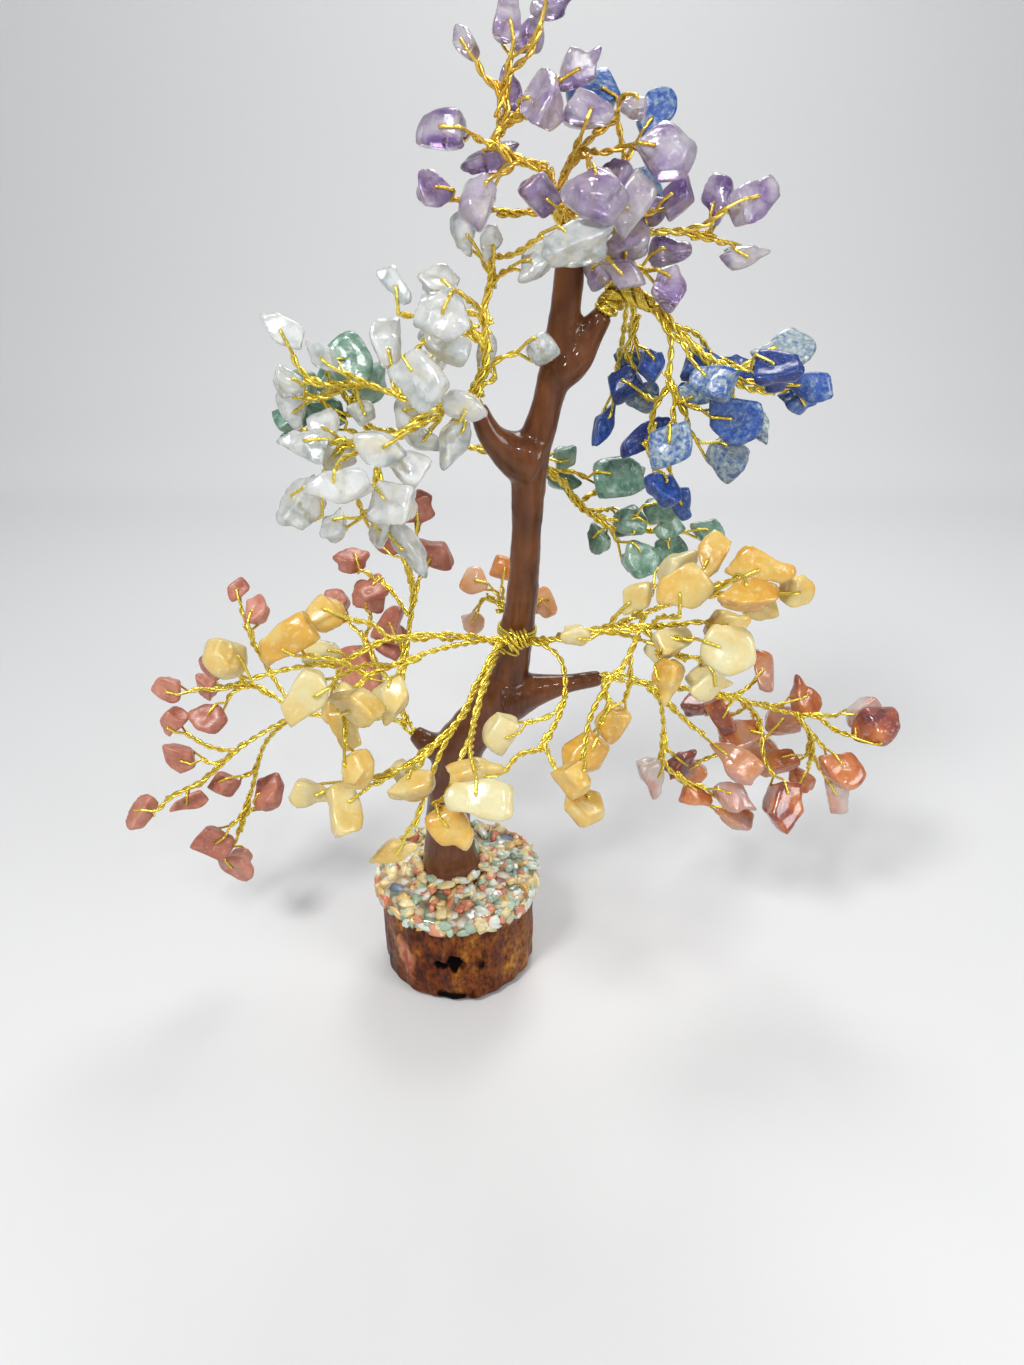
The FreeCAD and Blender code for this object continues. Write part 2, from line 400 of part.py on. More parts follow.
def tube(points, radii, sides):
    """A faceted tube along straight runs, mitred where it turns."""
    direction = unit(points[1] - points[0])
    offsets = ring_offsets(direction, sides)
    sections = [[points[0] + o * radii[0] for o in offsets]]
    for k in range(1, len(points)):
        if k + 1 < len(points):
            onward = unit(points[k + 1] - points[k])
            mitre = unit(direction + onward)
            slope = direction.dot(mitre)
            offsets = [o - direction * (o.dot(mitre) / slope) for o in offsets]
            sections.append([points[k] + o * radii[k] for o in offsets])
            offsets = [o - onward * o.dot(onward) for o in offsets]
            direction = onward
        else:
            sections.append([points[k] + o * radii[k] for o in offsets])
    return skin(sections)


def loft_round(rows, sides):
    """A tapering round limb through the rows' places, each section square to the run there."""
    centres = [place(x, y, z) for x, y, z, _ in rows]
    sections = []
    first = None
    for k, centre in enumerate(centres):
        before = centres[max(k - 1, 0)]
        after = centres[min(k + 1, len(centres) - 1)]
        direction = unit(after - before)
        if first is None:
            first = ring_offsets(direction, sides)[0]
        first = unit(first - direction * first.dot(direction))
        radius = rows[k][3] * TRUNK_DIAMETER / 2
        sections.append([centre + turn_about(direction, first, math.tau * i / sides) * radius
                         for i in range(sides)])
    return skin(sections)


# The base

def make_log():
    """The log slice: furrowed bark outline, flat ends and a knot hollow at the front."""
    rings = []
    for height, shares in ((0, BARK_BOTTOM_SHARES), (LOG_HEIGHT / 2, BARK_TOP_SHARES),
                           (LOG_HEIGHT, BARK_BOTTOM_SHARES)):
        ring = []
        for i in range(LOG_SIDES):
            angle = math.tau * i / LOG_SIDES
            radius = in_turn(shares, i) * LOG_DIAMETER / 2
            ring.append(Vector(radius * math.cos(angle), radius * math.sin(angle), height))
        rings.append(ring)
    bottom = Vector(0, KNOT_DEPTH - LOG_DIAMETER / 2, LOG_HEIGHT / 2)
    knot = tube([bottom, bottom - Vector(0, KNOT_DEPTH + CUT_OVERRUN, 0)],
                [KNOT_DIAMETER / 4, KNOT_DIAMETER / 2], KNOT_SIDES)
    return skin(rings).cut(knot).Solids[0]


def bed_corner_radius():
    return (MOSAIC_DIAMETER / 2 - RIM_GRIT_THICKNESS) / math.cos(math.pi / BED_FLATS)


def foot():
    x, y, _, diameter_share = TRUNK_SHARES[0]
    centre = Vector(x * CROWN_REACH, y * CROWN_REACH, LOG_HEIGHT + SEAT_GAP)
    return centre, diameter_share * TRUNK_DIAMETER / 2


def make_bed():
    """The resin bed: a many-sided disc on the log, with a hole that the trunk's foot fills."""
    radius = bed_corner_radius()
    rings = []
    for height in (LOG_HEIGHT, BASE_TOP):
        rings.append([Vector(radius * math.cos(math.tau * (i + 0.5) / BED_FLATS),
                             radius * math.sin(math.tau * (i + 0.5) / BED_FLATS), height)
                      for i in range(BED_FLATS)])
    centre, foot_radius = foot()
    hole = tube([centre - Vector(0, 0, CUT_OVERRUN), centre + Vector(0, 0, MOSAIC_HEIGHT + CUT_OVERRUN)],
                [foot_radius + FIT_CLEARANCE] * 2, TRUNK_SIDES)
    return skin(rings).cut(hole).Solids[0]


def nugget(middle, along, across, normal, half_length, half_width, thickness, outline, small_share):
    """A tumbled stone: one outline on the large face, the same one smaller on the other."""
    large = [middle + normal * (thickness / 2) + along * (x * half_length) + across * (y * half_width)
             for x, y in outline]
    small = [middle - normal * (thickness / 2) + along * (x * half_length * small_share)
             + across * (y * half_width * small_share) for x, y in outline]
    return skin([large, small])


def make_grit():
    """Stone grit by colour: a spiral of pieces on the bed and one piece on each flat of its rim."""
    by_colour = {colour: [] for colour in sorted(set(GRIT_COLOURS))}
    quads = [outline for outline in OUTLINE_SHARES if len(outline) == 4]
    centre, foot_radius = foot()
    reach = TOP_GRIT_LENGTH / 2
    inner = foot_radius + reach + CHIP_GAP
    outer = bed_corner_radius() * math.cos(math.pi / BED_FLATS) - reach
    for i in range(TOP_GRIT_COUNT):
        share = (i + 0.5) / TOP_GRIT_COUNT
        radius = math.sqrt(inner ** 2 + share * (outer ** 2 - inner ** 2))
        angle = i * GOLDEN_ANGLE
        height = TOP_GRIT_HEIGHT * in_turn(GRIT_HEIGHT_SHARES, i)
        along = Vector(math.cos(2 * angle), math.sin(2 * angle), 0)
        middle = Vector(radius * math.cos(angle), radius * math.sin(angle),
                        BASE_TOP + SEAT_GAP + height / 2)
        piece = nugget(middle, along, along.cross(Vector(0, 0, 1)), Vector(0, 0, -1),
                       reach * TOP_GRIT_SHARE, reach * TOP_GRIT_SHARE * in_turn(GRIT_WIDTH_SHARES, i),
                       height, in_turn(quads, i), in_turn(SMALL_FACE_SHARES, i))
        by_colour[in_turn(GRIT_COLOURS, i)].append(piece)
    flat_length = 2 * bed_corner_radius() * math.sin(math.pi / BED_FLATS)
    for i in range(BED_FLATS):
        angle = math.tau * i / BED_FLATS
        outward = Vector(math.cos(angle), math.sin(angle), 0)
        across = Vector(0, 0, 1)
        thickness = RIM_GRIT_THICKNESS * in_turn(GRIT_HEIGHT_SHARES, i) - SEAT_GAP
        apothem = MOSAIC_DIAMETER / 2 - RIM_GRIT_THICKNESS
        middle = outward * (apothem + SEAT_GAP + thickness / 2)
        middle = middle + Vector(0, 0, LOG_HEIGHT + MOSAIC_HEIGHT / 2)
        piece = nugget(middle, outward.cross(across), across, outward * -1,
                       flat_length / 2 * in_turn(RIM_LENGTH_SHARES, i),
                       MOSAIC_HEIGHT / 2 * in_turn(RIM_HEIGHT_SHARES, i),
                       thickness, in_turn(quads, i + 1), in_turn(SMALL_FACE_SHARES, i))
        by_colour[in_turn(GRIT_COLOURS, i + 4)].append(piece)
    return by_colour


# The trunk

def trunk_rows():
    """The trunk's places, with the foot brought down through the bed to the log."""
    x, y, _, diameter_share = TRUNK_SHARES[0]
    below = (x, y, (LOG_HEIGHT + SEAT_GAP - BASE_TOP) / TRUNK_HEIGHT, diameter_share)
    return (below,) + TRUNK_SHARES


def socket(rows):
    """The open end of a stub or of the trunk: the place of its end face and the way out."""
    end = place(*rows[-1][:3])
    return end, unit(end - place(*rows[-2][:3]))


def core_points():
    """The armature's run from just above the log to just under the top socket."""
    points = [place(*row[:3]) for row in trunk_rows()]
    end, way = socket(TRUNK_SHARES)
    points[0] = points[0] + Vector(0, 0, CUT_OVERRUN)
    points[-1] = end - way * (SOCKET_DEPTH + CUT_OVERRUN)
    return points


def make_trunk():
    """The clay trunk with its stubs, bored for the armature and socketed for each limb."""
    trunk = loft_round(trunk_rows(), TRUNK_SIDES)
    trunk = trunk.fuse([loft_round(rows, STUB_SIDES) for rows in STUB_SHARES.values()])
    points = core_points()
    cuts = [tube(points, [CORE_DIAMETER / 2 + FIT_CLEARANCE] * len(points), CORE_SIDES)]
    for rows in list(STUB_SHARES.values()) + [TRUNK_SHARES]:
        end, way = socket(rows)
        cuts.append(tube([end - way * SOCKET_DEPTH, end + way * CUT_OVERRUN],
                         [BOUGH_DIAMETER / 2 + FIT_CLEARANCE] * 2, STEM_SIDES))
    return trunk.cut(cuts).Solids[0]


def make_core():
    """The bundle of limb wires that the clay is laid over, taken as one tube of its size."""
    points = core_points()
    return tube(points, [CORE_DIAMETER / 2] * len(points), CORE_SIDES)


# Boughs

def wrap_frame():
    """The trunk's middle, direction and radius where the front limb is tied on."""
    x, y, z, diameter_share = TRUNK_SHARES[WRAP_ROW_INDEX]
    run = place(*TRUNK_SHARES[WRAP_ROW_INDEX + 1][:3]) - place(*TRUNK_SHARES[WRAP_ROW_INDEX - 1][:3])
    return place(x, y, z), unit(run), diameter_share * TRUNK_DIAMETER / 2


def binding_middle():
    """Where the front limb's bundle crosses the trunk, resting on the wire round it."""
    middle, _, radius = wrap_frame()
    front = radius + 2 * (WRAP_WIRE_DIAMETER + FIT_CLEARANCE) + SEAT_GAP + BOUGH_DIAMETER / 2
    return middle - Vector(0, front, 0)


def wrap_lift():
    """How far out of its socket a limb's wrap has its middle."""
    return WRAP_PITCH * LIMB_WRAP_TURNS / 2 + WRAP_WIRE_DIAMETER


def bough_runs(limb):
    """Each bough's points and radii, the first one from inside its socket."""
    runs = []
    shift = Vector(0, 0, 0)
    if limb == FRONT_LIMB:
        shift = binding_middle() - place(*BOUGH_SHARES[limb][0][2][0])
    for start_share, end_share, shares in BOUGH_SHARES[limb]:
        points = [place(*share) + shift for share in shares]
        if limb != FRONT_LIMB and not runs:
            end, way = socket(STUB_SHARES.get(limb, TRUNK_SHARES))
            straight = BOUGH_DIAMETER / 2 + (2 * wrap_lift() if limb in WRAPPED_LIMBS else 0)
            points = [end - way * (SOCKET_DEPTH - SEAT_GAP), end + way * straight] + points
        last = len(points) - 1
        radii = [(start_share + (end_share - start_share) * k / last) * BOUGH_DIAMETER / 2
                 for k in range(last + 1)]
        runs.append((points, radii))
    return runs


def make_boughs(limb):
    """One limb's bundle with its forks, each fork a smaller bundle that leaves the larger one."""
    pieces = []
    for points, radii in bough_runs(limb):
        sides = STEM_SIDES if max(radii) > BOUGH_DIAMETER * 0.4 else STEM_SIDES - 2
        pieces.append(tube(points, radii, sides))
    return pieces[0].fuse(pieces[1:]).Solids[0]


# Where chips and wires lie: boxes stand for stones, and runs with a radius for wires

VIEW = Vector(0, math.cos(VIEW_DROP), -math.sin(VIEW_DROP))
VIEW_UP = Vector(0, math.sin(VIEW_DROP), math.cos(VIEW_DROP))


class Chip:
    """One stone's place, axes and size."""

    def __init__(self, index, row):
        x, y, z, length_share, width_share, lean = row
        tilt = math.radians(in_turn(TILT_DEGREES, index))
        flat = Vector(1, 0, 0) * math.cos(math.radians(lean)) + VIEW_UP * math.sin(math.radians(lean))
        self.along = unit(flat * math.cos(tilt) + VIEW * math.sin(tilt))
        facing = unit(VIEW * -1 + self.along * VIEW.dot(self.along))
        self.normal = turn_about(self.along, facing, math.radians(in_turn(ROLL_DEGREES, index)))
        self.across = self.normal.cross(self.along)
        self.middle = place(x, y, z)
        self.half_length = length_share * CHIP_LENGTH / 2
        self.half_width = width_share * CHIP_LENGTH / 2
        self.thickness = 2 * self.half_width * in_turn(THICKNESS_SHARES, index)
        self.outline = in_turn(OUTLINE_SHARES, index)
        self.small_share = in_turn(SMALL_FACE_SHARES, index)
        self.axes = (self.along, self.across, self.normal)
        self.halves = (self.half_length, self.half_width,
                       self.thickness / 2 + EYE_WIRE_DIAMETER + EYE_CLEARANCE)
        self.reach = math.sqrt(sum(half ** 2 for half in self.halves))

    def edge(self, heading):
        """How far the large face's outline lies from the middle in a heading within the face."""
        a = heading.dot(self.along) / self.half_length
        b = heading.dot(self.across) / self.half_width
        best = 0
        for i, (x0, y0) in enumerate(self.outline):
            x1, y1 = self.outline[(i + 1) % len(self.outline)]
            turn = a * (y1 - y0) - b * (x1 - x0)
            if turn:
                best = max(best, self.crossing(a, b, x0, y0, x1, y1, turn))
        return best

    @staticmethod
    def crossing(a, b, x0, y0, x1, y1, turn):
        """Where the ray (a, b) meets the side between two corners, or zero where it misses."""
        distance = (x0 * (y1 - y0) - y0 * (x1 - x0)) / turn
        along_side = (x0 * b - y0 * a) / turn
        return distance if distance > 0 and -1e-9 <= along_side <= 1 + 1e-9 else 0

    def away(self, point):
        """The distance from the point to the stone's box, zero inside it."""
        delta = point - self.middle
        spill = 0
        for axis, half in zip(self.axes, self.halves):
            over = abs(delta.dot(axis)) - half
            if over > 0:
                spill += over * over
        return math.sqrt(spill)


class Bar:
    """A straight run of wire or clay as a fixed box, so that stones can be pushed off it."""

    def __init__(self, start, end, radius):
        self.middle = (start + end) / 2
        along = unit(end - start)
        across = ring_offsets(along, 4)[0]
        self.axes = (along, across, along.cross(across))
        self.halves = ((end - start).Length / 2 + radius, radius, radius)
        self.reach = math.sqrt(sum(half ** 2 for half in self.halves))


def overlap_moves(first, second):
    """The least push that parts two boxes, and the push along the view that does so, or None."""
    delta = second.middle - first.middle
    if delta.Length > first.reach + second.reach + CHIP_GAP:
        return None
    crossed = [p.cross(q) for p in first.axes for q in second.axes]
    tests = list(first.axes) + list(second.axes) + [unit(c) for c in crossed if c.Length > 0.1]
    least = None
    least_axis = None
    in_view = None
    for axis in tests:
        spread = sum(abs(a.dot(axis)) * h for a, h in zip(first.axes, first.halves))
        spread += sum(abs(a.dot(axis)) * h for a, h in zip(second.axes, second.halves))
        depth = spread + CHIP_GAP - abs(delta.dot(axis))
        if depth <= 0:
            return None
        if least is None or depth < least:
            least = depth
            least_axis = axis * math.copysign(1, delta.dot(axis))
        facing = abs(axis.dot(VIEW))
        if facing > 0.2:
            needed = depth / facing
            in_view = needed if in_view is None else min(in_view, needed)
    if in_view is not None and in_view * 0.5 < least:
        return VIEW * math.copysign(in_view + PUSH_MARGIN, delta.dot(VIEW))
    return least_axis * (least + PUSH_MARGIN)


def close_by(first, second):
    """Whether two boxes may come to touch within the way that settling moves them."""
    reach = first.reach + second.reach + CHIP_LENGTH / 2
    return (second.middle - first.middle).Length < reach


def settle(chips, bars):
    """Stones that overlap are pushed apart, along the view where that takes little."""
    bars_near = [[bar for bar in bars if close_by(bar, chip)] for chip in chips]
    chips_near = [[other for other in chips[i + 1:] if close_by(other, chip)]
                  for i, chip in enumerate(chips)]
    for _ in range(SETTLE_ROUNDS):
        moved = False
        for chip, near_bars, near_chips in zip(chips, bars_near, chips_near):
            for bar in near_bars:
                push = overlap_moves(bar, chip)
                if push is not None:
                    chip.middle = chip.middle + push
                    moved = True
            for other in near_chips:
                push = overlap_moves(chip, other)
                if push is not None:
                    chip.middle = chip.middle - push / 2
                    other.middle = other.middle + push / 2
                    moved = True
        if not moved:
            break


def run_gap(p0, p1, q0, q1):
    """The least distance between two straight runs."""
    u = p1 - p0
    v = q1 - q0
    w = p0 - q0
    a = u.dot(u)
    b = u.dot(v)
    c = v.dot(v)
    d = u.dot(w)
    e = v.dot(w)
    det = a * c - b * b
    s = 0 if det < 1e-9 * a * c else min(max((b * e - c * d) / det, 0), 1)
    t = (b * s + e) / c
    if t < 0 or t > 1:
        t = min(max(t, 0), 1)
        s = min(max((b * t - d) / a, 0), 1)
    return (w + u * s - v * t).Length


# Twigs: each is one wire, folded through its stone and twisted back on itself

def eye_points(chip, heading):
    """The wire's way from the fork over one face, through the bore and back over the other."""
    edge = chip.edge(heading)
    small_edge = edge * chip.small_share
    bore = max(small_edge - BORE_INSET, 0)
    lift = chip.thickness / 2 + EYE_CLEARANCE + EYE_WIRE_DIAMETER / 2
    rim = edge + EYE_WIRE_DIAMETER / 2 + EYE_CLEARANCE
    fork = chip.middle + heading * (rim + EYE_NECK)
    drop = TWIG_DIAMETER / 2 + EYE_WIRE_DIAMETER / 2 + WIRE_GAP
    run = rim + EYE_NECK - small_edge
    under = lift + (lift - drop) * (small_edge + EYE_WIRE_DIAMETER / 2 - bore) / run
    return [fork, chip.middle + heading * rim + chip.normal * lift,
            chip.middle + heading * bore + chip.normal * lift,
            chip.middle + heading * bore - chip.normal * under,
            fork - chip.normal * drop]


def twig_path(chip, root, outward, bough_radius, swing):
    """The whole folded wire from its seat on the bough to its end beside the fork."""
    toward = root - chip.middle
    flat = toward - chip.normal * toward.dot(chip.normal)
    if flat.Length < chip.half_width / 2:
        return None
    eye = eye_points(chip, turn_about(chip.normal, unit(flat), math.radians(swing)))
    leave = eye[0] - root
    leave = leave - outward * leave.dot(outward)
    if leave.Length < bough_radius + TWIG_DIAMETER:
        return None
    side = unit(leave)
    lie = abs(unit(eye[0] - root).dot(outward))
    seat = root + side * (bough_radius + SEAT_GAP + lie * TWIG_DIAMETER / 2)
    if (eye[0] - seat).Length < TWIG_DIAMETER * 2:
        return None
    turn_back = unit(eye[0] - seat).dot(unit(eye[1] - eye[0]))
    if turn_back < -0.5:
        return None
    return [seat] + eye


def plain_cost(path, chip, outward):
    """Length and bend of a wire's way, before anything that it comes near."""
    seat, fork = path[0], path[1]
    cost = (fork - seat).Length / CHIP_LENGTH - unit(fork - seat).dot(outward)
    return cost - unit(fork - seat).dot(unit(chip.middle - fork))


def crowding(path, own_start, chip, chips, wires, limit):
    """A large cost for each place where the wire is too close to something, up to a limit."""
    seat, fork = path[0], path[1]
    cost = 0
    middle = (seat + fork) / 2
    reach = (fork - seat).Length / 2 + chip.reach + EYE_NECK
    away_from_seat = seat + (fork - seat) * min(BOUGH_DIAMETER / (fork - seat).Length, 0.5)
    for start, end, radius, near in wires:
        if (near - middle).Length > reach + (end - start).Length / 2 + radius:
            continue
        gap = run_gap(away_from_seat, fork, start, end) - radius - TWIG_DIAMETER / 2
        if start is not own_start:
            gap = min(gap, run_gap(seat, away_from_seat, start, end) - radius - SEAT_CLOSENESS)
        if gap < WIRE_GAP:
            cost += 3 * (WIRE_GAP - gap) / TWIG_DIAMETER + 1
        for p, q in zip(path[1:], path[2:]):
            gap = run_gap(p, q, start, end) - radius - EYE_WIRE_DIAMETER / 2
            if gap < WIRE_GAP:
                cost += 1 + (WIRE_GAP - gap) / TWIG_DIAMETER
        if cost >= limit:
            return cost
    steps = int((fork - seat).Length / (2 * TWIG_DIAMETER)) + 1
    samples = [seat + (fork - seat) * (k / steps) for k in range(steps + 1)]
    loop = ((path[1] + path[2]) / 2, (path[1] + path[4]) / 2)
    for other in chips:
        if other is chip or (other.middle - middle).Length > reach + other.reach:
            continue
        for sample in samples:
            gap = other.away(sample) - TWIG_DIAMETER / 2
            if gap < WIRE_GAP:
                cost += 3 * (WIRE_GAP - gap) / TWIG_DIAMETER + 1
        for sample in loop:
            if other.away(sample) < EYE_WIRE_DIAMETER / 2 + WIRE_GAP:
                cost += 2
        if cost >= limit:
            return cost
    return cost


def choose_path(chip, runs, chips, wires):
    """The best way for a stone's wire among seats spaced along the boughs near it."""
    ways = []
    for points, radii in runs:
        for k in range(len(points) - 1):
            span = points[k + 1] - points[k]
            outward = unit(span)
            steps = int(span.Length / (BOUGH_DIAMETER * SEAT_SPACING_SHARE)) + 1
            for i in range(steps + 1):
                share = i / steps
                root = points[k] + span * share
                if (root - chip.middle).Length > 3 * CHIP_LENGTH + chip.reach:
                    continue
                radius = radii[k] + (radii[k + 1] - radii[k]) * share
                for swing in SWING_DEGREES:
                    path = twig_path(chip, root, outward, radius, swing)
                    if path is not None:
                        ways.append((plain_cost(path, chip, outward), path, points[k]))
    ways.sort(key=lambda way: way[0])
    far = 3 * CHIP_LENGTH + 2 * chip.reach
    chips = [other for other in chips if (other.middle - chip.middle).Length < far + other.reach]
    wires = [wire for wire in wires
             if (wire[3] - chip.middle).Length < far + (wire[1] - wire[0]).Length / 2]
    best = math.inf
    best_path = None
    for cost, path, own_start in ways:
        if cost >= best:
            break
        cost += crowding(path, own_start, chip, chips, wires, best - cost)
        if cost < best:
            best = cost
            best_path = path
    return best_path


def make_twig(path):
    radii = [TWIG_DIAMETER / 2, TWIG_DIAMETER / 2] + [EYE_WIRE_DIAMETER / 2] * (len(path) - 2)
    return tube(path, radii, TWIG_SIDES)


def make_chip(chip, path):
    """The stone with its square bore, cut along the wire's run through it."""
    stone = nugget(chip.middle, chip.along, chip.across, chip.normal, chip.half_length,
                   chip.half_width, chip.thickness, chip.outline, chip.small_share)
    over, under = path[3], path[4]
    half_diagonal = CHIP_BORE / math.sqrt(2)
    bore = tube([over, under], [half_diagonal] * 2, 4)
    return stone.cut(bore).Solids[0]


# Wraps

def arc_edge(start, corner, end):
    """The arc that leaves start and reaches end along the lines through their common corner."""
    chord_middle = (start + end) / 2
    half = (end - start).Length / 2
    rise = corner - chord_middle
    sag = half * ((corner - start).Length - half) / rise.Length
    return Part.Arc(start, chord_middle + unit(rise) * sag, end).toShape()


def biarc(p0, t0, p1, t1):
    """Two arcs with a shared tangent between two places and headings."""
    chord = p1 - p0
    a = 2 * (1 - t0.dot(t1))
    b = 2 * chord.dot(t0 + t1)
    c = -chord.dot(chord)
    reach = (-b + math.sqrt(b * b - 4 * a * c)) / (2 * a)
    q0 = p0 + t0 * reach
    q1 = p1 - t1 * reach
    joint = (q0 + q1) / 2
    return [arc_edge(p0, q0, joint), arc_edge(joint, q1, p1)]


def coil(name, middle, axis, radius, turns):
    """A wire wound in one unbroken tube about an axis, with straight ends, its gap printed."""
    side = ring_offsets(axis, 4)[0]
    other = axis.cross(side)
    rise = WRAP_PITCH / math.tau
    quarters = turns * 4

    def point(angle):
        return (middle + side * (radius * math.cos(angle)) + other * (radius * math.sin(angle))
                + axis * (rise * angle - WRAP_PITCH * turns / 2))

    def heading(angle):
        return unit(other * (radius * math.cos(angle)) - side * (radius * math.sin(angle)) + axis * rise)

    angles = [math.pi / 2 * k for k in range(quarters + 1)]
    lead = point(0) - heading(0) * WRAP_WIRE_DIAMETER
    tail = point(angles[-1]) + heading(angles[-1]) * WRAP_WIRE_DIAMETER
    edges = [Part.LineSegment(lead, point(0)).toShape()]
    for a, b in zip(angles, angles[1:]):
        edges.extend(biarc(point(a), heading(a), point(b), heading(b)))
    edges.append(Part.LineSegment(point(angles[-1]), tail).toShape())
    corners = [lead + o * (WRAP_WIRE_DIAMETER / 2) for o in ring_offsets(heading(0), WRAP_SIDES)]
    profile = Part.makePolygon(corners + [corners[0]])
    samples = [point(math.tau * k / 24) for k in range(24 * turns + 1)]
    least = min((p - q).Length for i, p in enumerate(samples) for q in samples[i + 16:])
    print(name, "least gap between turns", round(least - WRAP_WIRE_DIAMETER, 3))
    return Part.Wire(edges).makePipeShell([profile], True, False)


def make_wraps():
    """The wires that tie the front limb to the trunk and bind three bundles."""
    middle, direction, radius = wrap_frame()
    wire = WRAP_WIRE_DIAMETER / 2
    around_trunk = radius + FIT_CLEARANCE + wire
    around_bundle = BOUGH_DIAMETER / 2 + FIT_CLEARANCE + wire
    wraps = [coil("trunk wrap", middle, direction, around_trunk, TRUNK_WRAP_TURNS),
             coil("front binding", binding_middle(), Vector(1, 0, 0), around_bundle, BINDING_TURNS)]
    for limb in WRAPPED_LIMBS:
        end, way = socket(STUB_SHARES.get(limb, TRUNK_SHARES))
        wraps.append(coil(limb + " wrap", end + way * wrap_lift(), way, around_bundle, LIMB_WRAP_TURNS))
    return wraps


# The whole tree

CHIP_LIMBS = {
    "amethyst": "amethyst", "quartz": "quartz", "green_left": "green", "green_right": "green",
    "lapis": "lapis", "yellow_left": "yellow", "yellow_centre": "yellow",
    "yellow_right": "yellow", "carnelian": "carnelian", "jasper_left": "jasper",
    "jasper_back": "jasper", "orange": "orange",
}


def bars_of(runs):
    return [(points[k], points[k + 1], max(radii[k], radii[k + 1]))
            for points, radii in runs for k in range(len(points) - 1)]


def clay_runs():
    """The trunk and its stubs as runs with a radius."""
    runs = []
    for rows in [trunk_rows()] + list(STUB_SHARES.values()):
        runs.append(([place(*row[:3]) for row in rows], [row[3] * TRUNK_DIAMETER / 2 for row in rows]))
    return runs


def make_crown():
    """Every stone settled clear of the rest, then each one's wire led to its bough."""
    runs = {limb: bough_runs(limb) for limb in BOUGH_SHARES}
    bars = bars_of(clay_runs())
    for limb_runs in runs.values():
        bars.extend(bars_of(limb_runs))
    chips = {}
    index = 0
    for name, rows in CHIP_SHARES.items():
        chips[name] = []
        for row in rows:
            chips[name].append(Chip(index, row))
            index += 1
    everyone = [chip for group in chips.values() for chip in group]
    settle(everyone, [Bar(*bar) for bar in bars])
    wires = [(start, end, radius, (start + end) / 2) for start, end, radius in bars]
    nodes = {}
    for name, group in chips.items():
        stones = []
        twigs = []
        for chip in group:
            path = choose_path(chip, runs[CHIP_LIMBS[name]], everyone, wires)
            stones.append(make_chip(chip, path))
            twigs.append(make_twig(path))
            for k in range(len(path) - 1):
                radius = TWIG_DIAMETER / 2 if k == 0 else EYE_WIRE_DIAMETER / 2
                wires.append((path[k], path[k + 1], radius, (path[k] + path[k + 1]) / 2))
        nodes[name + "_stones"] = stones
        nodes[name + "_twigs"] = twigs
    return nodes


def write(name, solids):
    shape = solids[0] if len(solids) == 1 else Part.makeCompound(solids)
    shape.exportStep(os.path.join("parts", name + ".step"))


def main():
    os.makedirs("parts", exist_ok=True)
    write("log_slice", [make_log()])
    write("resin_bed", [make_bed()])
    for colour, pieces in make_grit().items():
        write("grit_" + colour, pieces)
    write("trunk", [make_trunk()])
    write("trunk_core", [make_core()])
    for limb in BOUGH_SHARES:
        write(limb + "_boughs", [make_boughs(limb)])
    write("wire_wraps", make_wraps())
    for name, solids in make_crown().items():
        write(name, solids)


main()
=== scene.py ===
import bpy
import math
import numpy as np
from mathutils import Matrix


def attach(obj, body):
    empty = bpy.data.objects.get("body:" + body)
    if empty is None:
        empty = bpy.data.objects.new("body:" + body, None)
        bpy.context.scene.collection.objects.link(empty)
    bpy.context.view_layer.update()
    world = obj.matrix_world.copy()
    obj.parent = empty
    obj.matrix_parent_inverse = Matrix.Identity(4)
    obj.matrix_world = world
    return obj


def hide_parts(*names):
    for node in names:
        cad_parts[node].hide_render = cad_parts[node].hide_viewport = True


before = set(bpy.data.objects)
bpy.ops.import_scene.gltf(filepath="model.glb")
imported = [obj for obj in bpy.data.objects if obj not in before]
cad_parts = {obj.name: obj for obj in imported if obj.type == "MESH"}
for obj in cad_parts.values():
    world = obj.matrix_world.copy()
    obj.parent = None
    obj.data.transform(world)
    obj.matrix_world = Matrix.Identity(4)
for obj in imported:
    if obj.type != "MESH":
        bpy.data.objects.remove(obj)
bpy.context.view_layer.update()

MM = 0.001

# The tree's sizes, in millimetres, as in the part's source
CROWN_REACH = 100.0
TRUNK_HEIGHT = 180.0
TRUNK_DIAMETER = 12.0
BOUGH_DIAMETER = 2.8
LOG_RADIUS = 25.0
LOG_HEIGHT = 28.0
BED_RADIUS = 27.0
BED_HEIGHT = 5.0
BASE_TOP = LOG_HEIGHT + BED_HEIGHT

# Wire and its lay, and how far a limb's first bough runs into its clay socket
WIRE_RADIUS = 0.39
WIRE_STEP = 0.55
WIRE_SIDES = 6
PAIR_OFFSET = 0.41
PAIR_PITCH = 6.8
BUNDLE_PITCH = {"jasper": 45, "carnelian": 38, "green": 28, "yellow": 16}
USUAL_BUNDLE_PITCH = 18.0
BUNDLE_SINK = 0.35
LEAD_LENGTH = 5.0
SOCKET_DEPTH = 4.4

# The wires wound round the trunk at one row of its table, round the front bundle and two limbs
WRAP_ROW = 7
WRAP_RUN = 4.3
WRAPPED_LIMBS = ("amethyst", "lapis")
SHEATH_LENGTH = 17.0
SHEATH_PITCH = 12.0
SHEATH_WIRES = 12
TURN_STATIONS = 22
BINDING_GAP = 1.89
TIE_GAP = 0.12

# How much each clay stub thickens where it leaves the trunk, as a share of its radius
STUB_FLARES = {"jasper": 0.12, "carnelian": 0.60, "quartz": 0.55, "lapis": 0.35,
               "green": 0.25, "orange": 0.30}
FLARE_LENGTH = 9.0
CLAY_EXTRA = 0.12
CLAY_VOXEL = 0.00062

